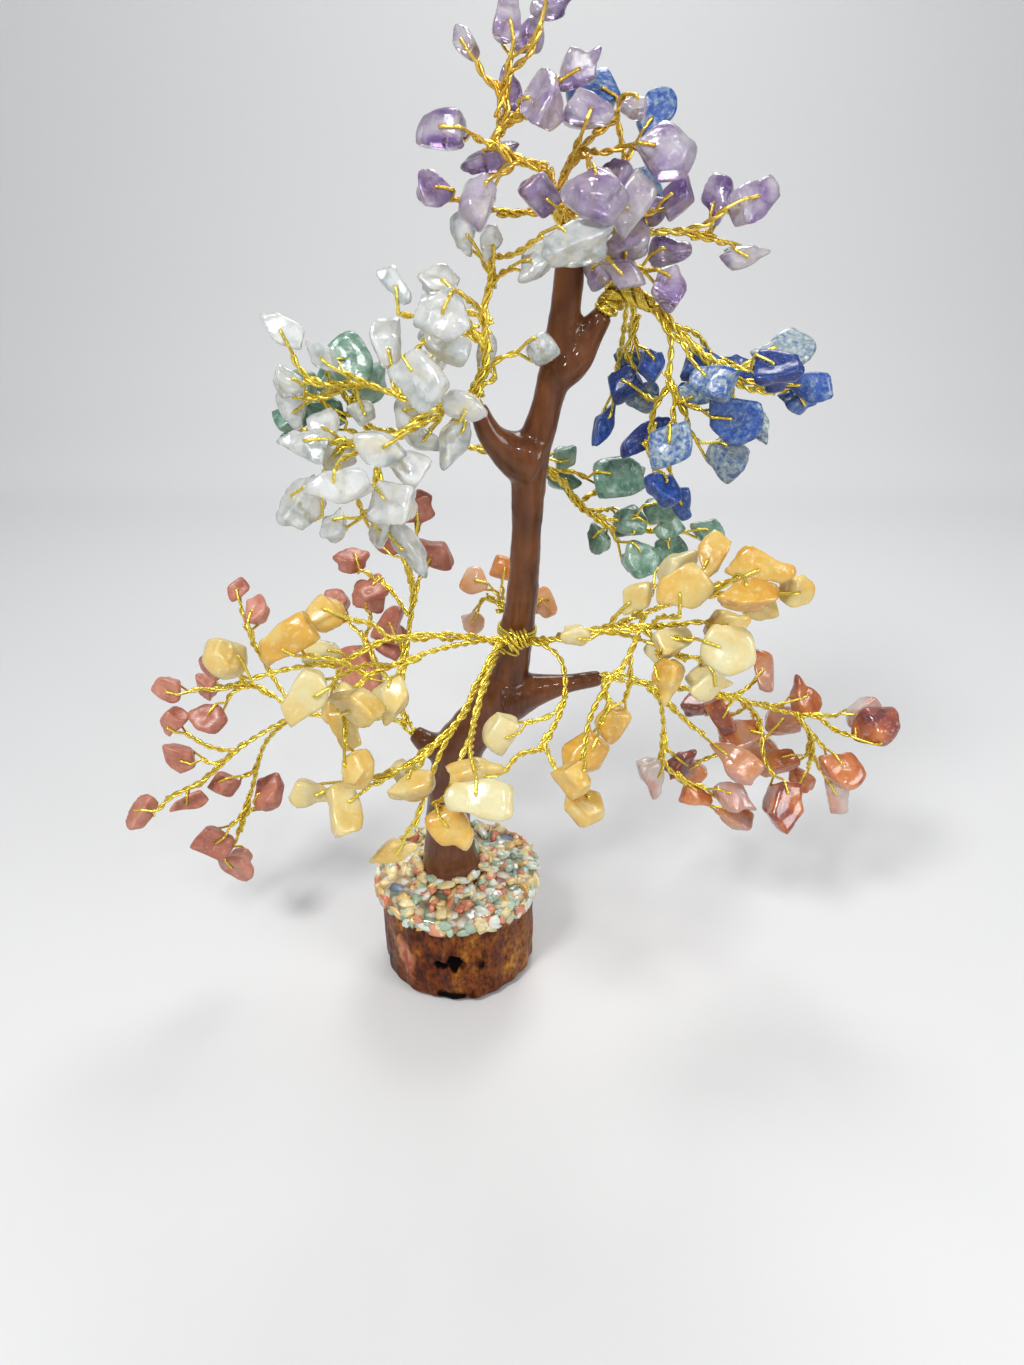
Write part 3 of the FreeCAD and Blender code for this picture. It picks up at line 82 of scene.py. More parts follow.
# Stones: how far the softened skin stands out past its blank's flats and how fine its mesh is; the
# ranges that broken corners, edges, dents, the slimmer end and unlisted tones are drawn from; each
# limb's sort and how sharply it keeps its edges; and the groups of solids, named after their limbs
STONE_SWELL = 1.09
STONE_DETAIL = 3
BROKEN_CORNERS = 11
CORNER_REACHES = (0.72, 0.95)
EDGE_SHARES = (0.7, 1.4)
RIPPLE = 0.022
RIPPLE_TURNS = 2.8
DENTS = 6
DENT_DEPTHS = (0.03, 0.13)
DENT_SPANS = (0.03, 0.12)
TAPERS = (0.2, 0.75)
OTHER_TONES = (0.15, 0.85)
LIMB_STONES = {"amethyst": ("amethyst", 19), "quartz": ("clear_quartz", 19),
               "green": ("green_aventurine", 15), "lapis": ("lapis", 20),
               "yellow": ("yellow_aventurine", 20), "carnelian": ("carnelian", 18),
               "jasper": ("red_jasper", 17), "orange": ("orange_aventurine", 15)}
EXTRA_EDGE = 11
CHIP_GROUPS = ("amethyst", "quartz", "green_left", "green_right", "lapis", "yellow_left",
               "yellow_centre", "yellow_right", "carnelian", "jasper_left", "jasper_back", "orange")

# A small extra stone slides along the view in steps until it clears the others by a gap
PART_STEPS = 40
PART_STEP = 0.8
PART_GAP = 0.3

# The folded wires: the side of their first triangle in the solids, how they sit in a stone, how
# far a long twig bows, and how many of them are wound at the usual lay, the rest being slacker
SEAT_SIDE = 0.425 * math.sqrt(3)
BORE_INSET = 2.0
BORE_SINK = 0.5
EYE_NECK = 1.9
SKIN_GAP = 0.04
BOW_SHARE = 0.11
BOW_MOST = 1.6
LONG_TWIG = 3.0
USUAL_LAYS = 0.85
SLACK_LAY = 0.8

# Grit: how many grains lie on the bed and round its rim, and how far out; how many are heaped
# at the trunk's foot; half their length, width and height; and each colour's share of them
GRAINS_TOP = 230
TOP_REACH = 24.4
GRAINS_RIM = 140
RIM_REACH = 25.35
GRAINS_MOUND = 60
GRAIN_HALVES = ((1.3, 3.2), (1.0, 2.1), (0.8, 1.3))
GRAIN_SHARES = {"cream": 0.37, "red": 0.24, "green": 0.18, "white": 0.19, "blue": 0.02}
FOOT_RADIUS = 9.6
MOUND_RADIUS = 13.5
MOUND_HEIGHT = 3.2

# The photo's view: the way it looks and what is up in it
VIEW_DROP = math.radians(28.7)
VIEW = np.array([0, math.cos(VIEW_DROP), -math.sin(VIEW_DROP)])
VIEW_UP = np.array([0, math.sin(VIEW_DROP), math.cos(VIEW_DROP)])


def thousandths(*rows):
    """Table rows as an array of shares of one."""
    return np.array(rows) / 1000


# The trunk from its foot on the log to its tip: x, y, height and diameter shares, in thousandths
TRUNK_SHARES = thousandths(
    (-20, 0, 0, 1750), (-22, 0, 40, 1350), (-24, 0, 110, 1120), (-10, 0, 195, 1100), (30, 0, 265, 1150),
    (115, 0, 335, 1000), (170, 0, 400, 820), (188, 0, 470, 780), (204, 0, 540, 700), (213, 0, 640, 660),
    (220, 0, 730, 780), (255, 0, 800, 640), (288, 0, 880, 660), (303, 0, 950, 600), (310, 0, 1000, 560),
)

# Clay stubs that the limbs come out of, from the trunk's axis to the stub's end
STUB_SHARES = {
    "jasper": thousandths((40, 0, 275, 1000), (-20, 10, 252, 860), (-70, 25, 251, 620),
        (-120, 40, 270, 420)),
    "carnelian": thousandths((150, 0, 350, 840), (235, 0, 362, 700), (330, 0, 374, 460),
        (430, 0, 385, 360)),
    "quartz": thousandths((222, 0, 735, 760), (165, -20, 752, 660), (120, -40, 777, 500),
        (90, -50, 815, 400)),
    "lapis": thousandths((280, 0, 855, 620), (330, 0, 875, 580), (360, 0, 905, 520), (392, -3, 932, 420)),
    "green": thousandths((218, 0, 690, 600), (215, 50, 705, 500), (210, 85, 720, 420)),
    "orange": thousandths((180, 0, 420, 520), (180, 50, 430, 440), (170, 90, 445, 380)),
}

# Boughs, per limb: start and end diameter shares in hundredths, then the line's points as
# x, y and height shares in thousandths
BOUGHS = {
    "amethyst": (
        (100, 80, (270, -40, 1060), (250, -60, 1100)),
        (70, 36, (250, -60, 1100), (170, -70, 1115), (140, -70, 1135), (170, -60, 1160), (120, -40, 1205)),
        (36, 30, (155, -55, 1180), (170, -50, 1210), (200, -40, 1240)),
        (70, 36, (270, -40, 1060), (200, -50, 1052), (130, -60, 1055), (50, -70, 1075)),
        (66, 36, (270, -40, 1060), (300, -50, 1105), (360, -60, 1140), (420, -50, 1160)),
        (70, 36, (270, -40, 1060), (370, -50, 1035), (500, -60, 1030), (670, -40, 1025)),
        (50, 32, (320, -45, 1048), (380, -60, 1005), (480, -80, 1000)),
    ),
    "quartz": (
        (100, 64, (85, -60, 835), (110, -65, 880), (115, -70, 925)),
        (60, 36, (115, -70, 925), (115, -70, 955), (130, -70, 985), (115, -70, 1010)),
        (50, 32, (115, -70, 925), (90, -90, 955), (40, -90, 975)),
        (50, 32, (115, -70, 925), (170, -80, 935), (225, -90, 930), (250, -120, 955)),
        (50, 32, (110, -67, 900), (70, -90, 920), (40, -110, 915)),
        (75, 34, (85, -60, 835), (20, -120, 832), (-80, -130, 838), (-170, -100, 852), (-280, -80, 848),
         (-350, -70, 862)),
        (66, 34, (30, -110, 832), (-30, -130, 815), (-110, -140, 788), (-240, -140, 770),
         (-290, -150, 730)),
        (50, 32, (-110, -140, 788), (-150, -160, 745), (-150, -170, 720)),
    ),
    "green": (
        (100, 86, (195, 115, 724)),
        (80, 36, (195, 115, 724), (80, 110, 735), (-60, 130, 745), (-220, 150, 768), (-280, 150, 820)),
        (80, 36, (195, 115, 724), (300, 130, 685), (380, 190, 625), (480, 220, 590), (660, 250, 575)),
        (50, 32, (-100, 135, 750), (-260, 140, 735), (-380, 160, 745)),
        (50, 32, (360, 175, 640), (420, 220, 650), (500, 240, 650)),
    ),
    "lapis": (
        (100, 80, (500, -40, 943)),
        (76, 34, (500, -40, 943), (580, -60, 905), (660, -70, 865), (740, -70, 843), (820, -60, 832)),
        (60, 34, (500, -40, 943), (545, -60, 905), (550, -80, 850), (600, -100, 805), (670, -110, 780)),
        (46, 32, (550, -80, 850), (515, -70, 810), (515, -60, 760), (530, -60, 748)),
        (46, 32, (455, -20, 952), (465, 10, 915), (450, 20, 880)),
        (46, 32, (455, -20, 952), (450, 90, 1000), (450, 120, 1060), (430, 120, 1120), (420, 120, 1140)),
    ),
    "yellow": (
        (90, 36, (185, -82, 472), (150, -82, 472), (100, -100, 480), (-20, -180, 508), (-160, -250, 518),
         (-280, -290, 495), (-410, -320, 515)),
        (60, 34, (100, -100, 480), (-10, -200, 494), (-120, -280, 492), (-200, -350, 485),
         (-240, -380, 455)),
        (66, 34, (140, -90, 476), (80, -220, 440), (30, -330, 412), (-70, -430, 385), (-200, -460, 355)),
        (66, 34, (140, -90, 476), (100, -230, 446), (70, -360, 415), (40, -480, 388), (20, -560, 372)),
        (46, 32, (30, -330, 412), (-10, -400, 385), (-50, -480, 335), (-80, -510, 290)),
        (60, 34, (220, -90, 476), (270, -140, 478), (305, -200, 465), (300, -300, 430), (240, -400, 390)),
        (90, 36, (185, -82, 472), (220, -82, 472), (260, -100, 480), (360, -170, 512), (500, -220, 535),
         (680, -240, 542)),
        (50, 32, (420, -193, 523), (520, -190, 550), (640, -160, 567), (790, -140, 566)),
        (50, 32, (500, -220, 535), (450, -280, 490), (400, -310, 470), (420, -330, 445)),
        (50, 32, (500, -220, 535), (570, -250, 505), (620, -270, 490)),
    ),
    "carnelian": (
        (100, 84, (480, 0, 385), (560, 0, 372)),
        (76, 36, (560, 0, 372), (680, 30, 355), (850, 50, 328), (1020, 60, 300), (1150, 40, 298)),
        (66, 34, (560, 0, 372), (640, -10, 332), (720, -20, 285), (790, -30, 220)),
        (50, 32, (600, -5, 352), (620, 0, 290), (630, -20, 230), (700, -40, 195)),
        (46, 32, (850, 50, 328), (920, 80, 280), (930, 60, 235)),
        (46, 32, (1020, 60, 300), (1080, 60, 250), (1090, 60, 200)),
    ),
    "jasper": (
        (100, 90, (-140, 45, 285)),
        (70, 36, (-140, 45, 285), (-160, 100, 325), (-140, 170, 400), (-120, 220, 480), (-140, 250, 540)),
        (46, 32, (-160, 100, 325), (-240, 180, 360), (-290, 250, 400)),
        (46, 32, (-130, 195, 440), (-190, 250, 475), (-260, 280, 505)),
        (90, 66, (-140, 45, 285), (-220, 35, 302), (-340, 15, 310), (-450, 0, 320)),
        (46, 32, (-450, 0, 320), (-530, 60, 375), (-600, 110, 450)),
        (46, 32, (-450, 0, 320), (-580, 20, 368), (-710, 20, 352)),
        (50, 32, (-450, 0, 320), (-610, -20, 268), (-740, -30, 205), (-860, -50, 172)),
        (50, 32, (-450, 0, 320), (-560, 20, 258), (-620, 20, 170), (-670, -10, 85)),
    ),
    "orange": (
        (80, 40, (160, 120, 468), (130, 165, 476), (100, 190, 480)),
        (40, 32, (160, 120, 468), (220, 150, 462)),
    ),
}

# Stones' tones in hundredths, from the group's left to its right
TONES = {
    "amethyst": (45, 40, 85, 70, 55, 60, 50, 55, 30, 50, 30, 60, 40, 80, 45, 25, 50, 90, 95, 45, 40, 40,
        55, 40, 55, 95),
    "lapis": (55, 40, 15, 70, 65, 55, 2, 35, 35, 75, 65, 45, 45, 80, 50, 25, 10, 90, 85, 50, 50),
    "yellow_left": (65, 35, 95, 85, 30, 60, 50, 60, 70),
    "yellow_centre": (80, 80, 60, 50, 95, 60, 30, 95, 40, 90, 35, 40, 25, 25),
    "yellow_right": (90, 75, 55, 85, 40, 95, 92, 90, 10, 35, 50, 30, 60, 60),
    "carnelian": (88, 74, 18, 16, 64, 84, 60, 70, 56, 24, 50, 60, 34, 44, 44, 90, 16, 88),
    "orange": (95, 75, 25, 55),
}

# Small stones that the solids leave out: x, y and height shares in thousandths, length and
# width in millimetres, lean in degrees and the tone in hundredths
EXTRA_STONES = {
    "quartz": ((54, -60, 937, 8.1, 3.7, 60, 60), (26, -140, 896, 9.6, 6.4, -20, 70),
        (-188, -60, 807, 4.9, 4.9, 30, 50), (-243, -160, 771, 8.1, 5.2, 20, 60),
        (-81, -220, 767, 8.4, 6.0, -30, 80)),
    "amethyst": ((419, -80, 1019, 8.9, 6.2, 30, 60), (479, -30, 1050, 6.7, 5.4, 60, 50)),
    "lapis": ((496, 0, 835, 7.4, 5.4, 0, 80), (641, 20, 854, 9.8, 5.9, -10, 40),
        (606, -40, 826, 7.3, 5.3, 20, 75)),
    "green_right": ((518, 220, 598, 8.6, 5.7, -10, 70), (618, 200, 594, 7.4, 5.7, 40, 60)),
    "green_left": ((-341, 180, 793, 9.0, 6.4, 50, 50), (-207, 100, 845, 8.6, 5.6, -50, 40)),
    "carnelian": ((802, 60, 291, 10.8, 5.4, -60, 35), (739, -40, 170, 8.4, 4.8, -20, 45),
        (883, 80, 251, 12.2, 7.9, 20, 60)),
    "jasper_back": ((-247, 260, 473, 7.8, 6.0, 30, 50), (-194, 240, 386, 9.2, 6.7, 60, 50)),
    "yellow_right": ((584, -260, 523, 8.5, 5.5, 20, 85), (778, -100, 544, 7.9, 5.2, 10, 50)),
    "yellow_left": ((-221, -360, 458, 7.9, 4.9, -30, 70),),
}


# Places and directions

def place(points):
    """Crown shares to millimetres: x and y times the reach, z times the height above the bed."""
    return np.asarray(points) * [CROWN_REACH, CROWN_REACH, TRUNK_HEIGHT] + [0, 0, BASE_TOP]


def unit(vectors):
    """Vectors divided by their lengths."""
    return vectors / np.maximum(np.linalg.norm(vectors, axis=-1, keepdims=True), 1e-12)


def squared(vector, ahead):
    """The vector's unit direction once what points along the heading is taken away."""
    return unit(vector - ahead * vector.dot(ahead))


def farthest_axis(heading):
    """The axis, of x, y and z, that a heading points along the least."""
    return np.eye(3)[np.argmin(np.abs(heading))]


# Lines and tubes

def smooth_line(points, step):
    """A Catmull-Rom line through the points, resampled at even steps of its length.

    Columns after the first three, such as a radius, are carried along."""
    points = np.asarray(points, float)
    padded = np.vstack([2 * points[0] - points[1], points, 2 * points[-1] - points[-2]])
    t = np.linspace(0, 1, 12, endpoint=False)[None, :, None]
    p0, p1, p2, p3 = (padded[i:len(padded) - 3 + i, None, :] for i in range(4))
    curve = 0.5 * (2 * p1 + (p2 - p0) * t + (2 * p0 - 5 * p1 + 4 * p2 - p3) * t ** 2
                   + (3 * p1 - p0 - 3 * p2 + p3) * t ** 3)
    curve = np.vstack([curve.reshape(-1, points.shape[1]), points[-1]])
    gone = lengths(curve[:, :3])
    even = np.linspace(0, gone[-1], max(int(gone[-1] / step), 2) + 1)
    return np.stack([np.interp(even, gone, column) for column in curve.T], axis=1)


def lengths(line):
    """The length gone along a line at each of its stations."""
    return np.concatenate([[0], np.cumsum(np.linalg.norm(np.diff(line, axis=0), axis=1))])


def carried_frame(line):
    """Two cross directions at each station, each pair the last one freed of the new heading.

    A heading is the unit difference of the stations on its two sides."""
    ahead = unit(np.gradient(line, axis=0))
    carried = farthest_axis(ahead[0])
    side = np.empty_like(line)
    for k, heading in enumerate(ahead):
        carried = carried - heading * carried.dot(heading)
        carried = carried / np.linalg.norm(carried)
        side[k] = carried
    return side, np.cross(ahead, side)


def turned(angle, side, other):
    """At each station the direction that lies at the angle between the two cross directions."""
    angle = angle[:, None]
    return side * np.cos(angle) + other * np.sin(angle)


def tube(line, radius, sides=WIRE_SIDES):
    """A tube: a ring of corners square to the heading at each station, with flat ends."""
    radius = np.broadcast_to(np.asarray(radius, float), (len(line),))
    side, other = carried_frame(line)
    angle = np.arange(sides)[None, :, None] * math.tau / sides
    ring = side[:, None] * np.cos(angle) + other[:, None] * np.sin(angle)
    verts = line[:, None] + ring * radius[:, None, None]
    return verts.reshape(-1, 3), *ring_faces(len(line), sides)


def ring_faces(rows, sides):
    """Faces between rings of corners laid one after another, with a fan over each end."""
    i = np.arange(rows - 1)[:, None] * sides
    j = np.arange(sides)[None, :]
    k = (j + 1) % sides
    quads = np.stack([i + j, i + k, i + k + sides, i + j + sides], axis=-1).reshape(-1, 4)
    fan = np.arange(1, sides - 1)
    start = np.stack([np.zeros_like(fan), fan + 1, fan], axis=1)
    end = np.stack([np.zeros_like(fan), fan, fan + 1], axis=1) + (rows - 1) * sides
    return quads, np.vstack([start, end])


def strand(line, offset, pitch, phase):
    """A line wound round another: offset from it, and turned once in each pitch of its length."""
    offset = np.broadcast_to(np.asarray(offset, float), (len(line),))[:, None]
    return line + turned(lengths(line) * (1 / pitch) * math.tau + phase, *carried_frame(line)) * offset


def around(radius, angle, height):
    """Points round the upright axis, from radii, angles and heights."""
    return np.stack(np.broadcast_arrays(radius * np.cos(angle), radius * np.sin(angle), height), axis=-1)


class Heap:
    """Surfaces gathered into one piece: corners in millimetres, faces and a tone for each."""

    def __init__(self):
        self.surfaces = []
        self.count = 0

    def add(self, surface, tone=0.5):
        """Adds a surface of one tone, or of a tone for each corner."""
        verts, quads, tris = surface
        tones = np.broadcast_to(tone, len(verts))
        self.surfaces.append((verts, quads + self.count, tris + self.count, tones))
        self.count += len(verts)

    def wire(self, line, tone=0.5, sides=WIRE_SIDES):
        self.add(tube(line, WIRE_RADIUS, sides), tone)

    def piece(self, name, material, slot, node):
        """Makes the Blender object that rides on the tree's one body and stands for a CAD node."""
        verts, quads, tris, tones = (np.concatenate(part) for part in zip(*self.surfaces))
        obj = show_mesh(name, verts, quads.tolist() + tris.tolist(), material)
        tone = obj.data.attributes.new("tone", "FLOAT", "POINT")
        tone.data.foreach_set("value", tones.astype(np.float32))
        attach(obj, "root")
        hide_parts(node)
        return obj


def show(name, data):
    """A new object in the scene."""
    obj = bpy.data.objects.new(name, data)
    bpy.context.collection.objects.link(obj)
    return obj


def show_mesh(name, verts, faces, material):
    """A new mesh object, from corners in millimetres and faces of any size."""
    mesh = bpy.data.meshes.new(name)
    mesh.from_pydata((verts * MM).tolist(), [], faces)
    cover(mesh, material)
    return show(name, mesh)


def cover(mesh, material):
    """Shades a mesh smooth in one material."""
    mesh.materials.clear()
    mesh.materials.append(material)
    mesh.shade_smooth()


def socket_end(limb):
    """The end of a limb's clay socket, its stub or the trunk's tip, and the way out of it."""
    rows = STUB_SHARES.get(limb, TRUNK_SHARES)
    before, end = place(rows[-2:, :3])
    return end, unit(end - before)


def bough_lines(limb):
    """Each bough's line with its start and end radius, the first from inside its socket."""
    lines = []
    shift = BINDING_MIDDLE - place(thousandths(*BOUGHS[limb][0][2:]))[0] if limb == "yellow" else 0
    for start, end, *points in BOUGHS[limb]:
        points = place(thousandths(*points)) + shift
        if limb != "yellow" and not lines:
            seat, way = socket_end(limb)
            straight = BOUGH_DIAMETER / 2 + (WRAP_RUN if limb in WRAPPED_LIMBS else 0)
            points = np.vstack([seat - way * SOCKET_DEPTH, seat + way * straight, points])
        lines.append((points, start / 100 * BOUGH_DIAMETER / 2, end / 100 * BOUGH_DIAMETER / 2))
    return lines


# The middle of the front bundle's binding, in front of the trunk
WRAP_RADIUS = TRUNK_SHARES[WRAP_ROW][3] * TRUNK_DIAMETER / 2
BINDING_MIDDLE = (place(TRUNK_SHARES[WRAP_ROW][:3])
                  - [0, WRAP_RADIUS + BINDING_GAP + BOUGH_DIAMETER / 2, 0])


# Materials

# Heights in metres where the wires start to turn warmer and are fully warm
CROWN_STARTS = 0.195
CROWN_FULL = 0.230

# The usual scale, fine scale, tone share and contrast of the mottle
MOTTLING = (180, 900, 0.45, 1.8)

# Ramp stops: position, red, green and blue in thousandths
WHITE = (1000, 1000, 1000)
GRAIN_STOPS = ((560, 0, 0, 0), (700, *WHITE))


class Tree:
    """A node tree: each method adds a node, sets or links what it is given and returns an output."""

    def __init__(self, tree):
        self.tree = tree

    def wire_up(self, node, inputs):
        """Each input, by name or number, is linked to the socket given or set to the value."""
        for key, value in inputs.items():
            if isinstance(value, bpy.types.NodeSocket):
                self.tree.links.new(value, node.inputs[key])
            else:
                node.inputs[key].default_value = value

    def add(self, kind, inputs, output=0, **settings):
        node = self.tree.nodes.new("ShaderNode" + kind)
        for key, value in settings.items():
            setattr(node, key, value)
        self.wire_up(node, inputs)
        return node.outputs[output]

    def place(self):
        return self.add("TexCoord", {}, "Object")

    def squeezed(self, share):
        """Object coordinates with the height shortened, which draws patterns out upwards."""
        return self.add("Mapping", {"Vector": self.place(), "Scale": (1.0, 1.0, share)})

    def tone(self):
        return self.add("Attribute", {}, "Fac", attribute_name="tone")

    def noise(self, where, scale, detail, twist=0):
        inputs = {"Vector": where, "Scale": scale, "Detail": detail, "Distortion": twist}
        return self.add("TexNoise", inputs)

    def sums(self, operation, *values):
        return self.add("Math", dict(enumerate(values)), operation=operation)

    def stretch(self, value, low=0.0, high=1.0, to_low=0.0, to_high=1.0):
        return self.add("MapRange", {"Value": value, "From Min": low, "From Max": high,
                                     "To Min": to_low, "To Max": to_high})

    def ramp(self, share, stops, interpolation="LINEAR"):
        """A colour ramp whose stops are position, red, green and blue, in thousandths."""
        colours = self.add("ValToRGB", {"Fac": share})
        colours.node.color_ramp.interpolation = interpolation
        elements = colours.node.color_ramp.elements
        elements.remove(elements[-1])
        for position, *colour in thousandths(*stops):
            elements.new(position).color = (*colour, 1)
        elements.remove(elements[0])
        return colours

    def blend(self, share, first, second):
        return self.add("Mix", {"Factor": share, "A": first, "B": second})

    def colours(self, way, share, under, over):
        """Two colours mixed; their sockets go by number, as other kinds share their names."""
        return self.add("Mix", {"Factor": share, 6: under, 7: over}, 2, data_type="RGBA",
                        blend_type=way)

    def bump(self, height, strength, distance, under=None, **settings):
        """Dents of a strength and a depth in metres, over those that are there already."""
        inputs = {"Height": height, "Strength": strength, "Distance": distance}
        if under is not None:
            inputs["Normal"] = under
        return self.add("Bump", inputs, **settings)

    def mottle(self, scale, fine, share, contrast):
        """The shared patches; gives their mask, grain and flakes."""
        inputs = {"Scale": scale, "Fine": fine, "Tone Share": share, "Contrast": contrast}
        return self.add("Group", inputs, node_tree=MOTTLE).node.outputs


class Material(Tree):
    """A new material's own tree."""

    def __init__(self, name):
        self.material = bpy.data.materials.new(name)
        self.material.use_nodes = True
        super().__init__(self.material.node_tree)

    def shade(self, **values):
        """Sets and links the Principled shader's inputs, underscores standing for spaces."""
        inputs = {key.replace("_", " "): value for key, value in values.items()}
        self.wire_up(self.tree.nodes["Principled BSDF"], inputs)
        return self.material


def mottle_group():
    """Patches: two sizes of noise on Object coordinates, with each stone's own tone added."""
    group = bpy.data.node_groups.new("mottle", "ShaderNodeTree")
    for name, value in (("Scale", 200.0), ("Fine", 900.0), ("Tone Share", 0.3), ("Contrast", 1.6)):
        item = group.interface.new_socket(name=name, in_out="INPUT", socket_type="NodeSocketFloat")
        item.default_value = value
    for name in ("Mask", "Grain", "Flakes"):
        group.interface.new_socket(name=name, in_out="OUTPUT", socket_type="NodeSocketFloat")
    tree = Tree(group)
    given = group.nodes.new("NodeGroupInput").outputs
    large = tree.noise(tree.place(), given["Scale"], 5.0, 0.6)
    spread = tree.sums("MULTIPLY_ADD", tree.sums("SUBTRACT", large, 0.5), given["Contrast"], 0.5)
    flakes = tree.add("TexVoronoi", {"Vector": tree.place(), "Scale": given["Scale"], "Smoothness": 0.25},
                      feature="SMOOTH_F1")
    tree.wire_up(group.nodes.new("NodeGroupOutput"), {
        "Mask": tree.blend(given["Tone Share"], spread, tree.tone()),
        "Grain": tree.noise(tree.place(), given["Fine"], 4.0), "Flakes": flakes})
    return group


def stone_material(name, stops, veil, mottling, roughness, clear, glow, bump, coat):
    """A tumbled stone: mottled colour, fine grain over it, a polished coat and soft dents."""
    tree = Material(name)
    mottle = tree.mottle(*mottling)
    *pale, strength = np.array(veil) / 1000
    share = tree.sums("MULTIPLY", tree.ramp(mottle["Grain"], GRAIN_STOPS), strength)
    dents = tree.bump(mottle["Flakes"], bump, 0.0012)
    pits = tree.bump(mottle["Grain"], bump * 0.7, 0.0003, dents)
    tree.shade(Base_Color=tree.colours("MIX", share, tree.ramp(mottle["Mask"], stops), (*pale, 1)),
               Normal=pits, Roughness=roughness, IOR=1.54, Transmission_Weight=clear,
               Coat_Weight=coat, Coat_Roughness=0.08)
    if glow:
        tree.shade(Subsurface_Weight=glow, Subsurface_Scale=0.003,
                   Subsurface_Radius=(1.0, 0.85, 0.65))
    return tree.material


def wire_material():
    """Gilt wire: a bright yellow metal whose lacquer varies a little, warmer in the crown."""
    tree = Material("gilt_wire")
    mottle = tree.mottle(120, 1500, 0.35, 1.5)
    lacquer = tree.ramp(mottle["Mask"], ((200, 660, 470, 35), (800, 960, 790, 140)))
    height = tree.add("SeparateXYZ", {"Vector": tree.place()}, "Z")
    crown = tree.stretch(height, CROWN_STARTS, CROWN_FULL)
    return tree.shade(Base_Color=tree.colours("MULTIPLY", crown, lacquer, (0.98, 0.84, 0.95, 1)),
                      Roughness=tree.stretch(mottle["Grain"], to_low=0.20, to_high=0.34),
                      Metallic=0.78, Specular_IOR_Level=0.6)


def clay_material():
    """Glossy brown clay: lengthwise strokes of the modelling tool under thick varnish."""
    tree = Material("glazed_clay")
    strokes = tree.noise(tree.squeezed(0.10), 700, 4.0)
    patches = tree.noise(tree.place(), 90, 2.0)
    grain = tree.blend(0.62, strokes, patches)
    dents = tree.bump(grain, 0.5, 0.0006)
    lumps = tree.bump(tree.noise(tree.place(), 210, 1.0), 0.55, 0.0020, dents)
    browns = tree.ramp(grain, ((360, 70, 21, 6), (480, 118, 38, 12), (660, 170, 60, 21)))
    return tree.shade(Base_Color=browns, Normal=lumps, Roughness=0.34, Specular_IOR_Level=0.12,
                      Coat_Weight=0.5, Coat_Roughness=0.03)


def bark_material():
    """Varnished bark: orange and red-brown grain under gloss, black where the tone is low: painted shade
    in the knot's hollow, lighter painted shade in the furrows, and the dark scorched patches.

    Where the tone is high the bark has peeled and shows a dull red skin."""
    tree = Material("varnished_bark")
    where = tree.squeezed(0.6)
    patches = tree.noise(where, 75, 3.0, 0.8)
    grain = tree.noise(where, 260, 6.0, 0.4)
    specks = tree.noise(where, 900, 3.0)
    blend = tree.blend(0.5, patches, grain)
    warm = tree.ramp(blend, ((340, 36, 7, 1), (460, 125, 25, 4), (560, 230, 68, 8), (680, 430, 190, 22)))
    dots = tree.ramp(specks, ((380, 300, 220, 160), (560, *WHITE)))
    ragged = tree.sums("MULTIPLY_ADD", grain, 0.9, tree.tone())
    # Painted shade: the low tone blackens the knot's hollow and darkens the furrows; it also darkens the
    # scorched patches.
    shade_and_scorch = tree.ramp(ragged, ((580, 12, 6, 4), (800, *WHITE)))
    whole = tree.colours("MULTIPLY", 1.0, tree.colours("MULTIPLY", 0.8, warm, dots), shade_and_scorch)
    skin = tree.ramp(grain, ((380, 190, 28, 10), (520, 380, 95, 40), (660, 560, 240, 130)))
    peeled = tree.stretch(ragged, 1.35, 1.65, 0.0, 0.85)
    return tree.shade(Base_Color=tree.colours("MIX", peeled, whole, skin),
                      Roughness=tree.stretch(ragged, 0.60, 0.80, 0.95, 0.50),
                      Coat_Weight=tree.stretch(ragged, 0.60, 0.80, 0.0, 0.16),
                      Normal=tree.bump(blend, 0.5, 0.0008), Specular_IOR_Level=0.10, Coat_Roughness=0.06)


def resin_material():
    """Clear resin over packed grit: cells of the five grit colours, painted shade at their edges, a wet
    coat.
    """
    tree = Material("grit_in_resin")
    cells = tree.add("TexVoronoi", {"Vector": tree.place(), "Scale": 330.0}).node.outputs
    pick = tree.add("SeparateColor", {"Color": cells["Color"]})
    colours = tree.ramp(pick, ((0, 420, 260, 120), (220, 620, 460, 260), (400, 350, 70, 30),
                               (550, 240, 340, 240), (720, 660, 620, 540), (900, 140, 190, 280)),
                        "CONSTANT")
    # Painted shade: each cell darkens towards its edge, as on rounded grains and in the gaps between them.
    edge = tree.ramp(cells["Distance"], ((250, *WHITE), (750, 500, 440, 340)))
    dents = tree.bump(cells["Distance"], 0.5, 0.0006, invert=True)
    return tree.shade(Base_Color=tree.colours("MULTIPLY", 1.0, colours, edge), Normal=dents,
                      Roughness=0.22, Coat_Weight=1.0, Coat_Roughness=0.04)


MOTTLE = mottle_group()
GILT = wire_material()
CLAY = clay_material()
BARK = bark_material()
RESIN = resin_material()

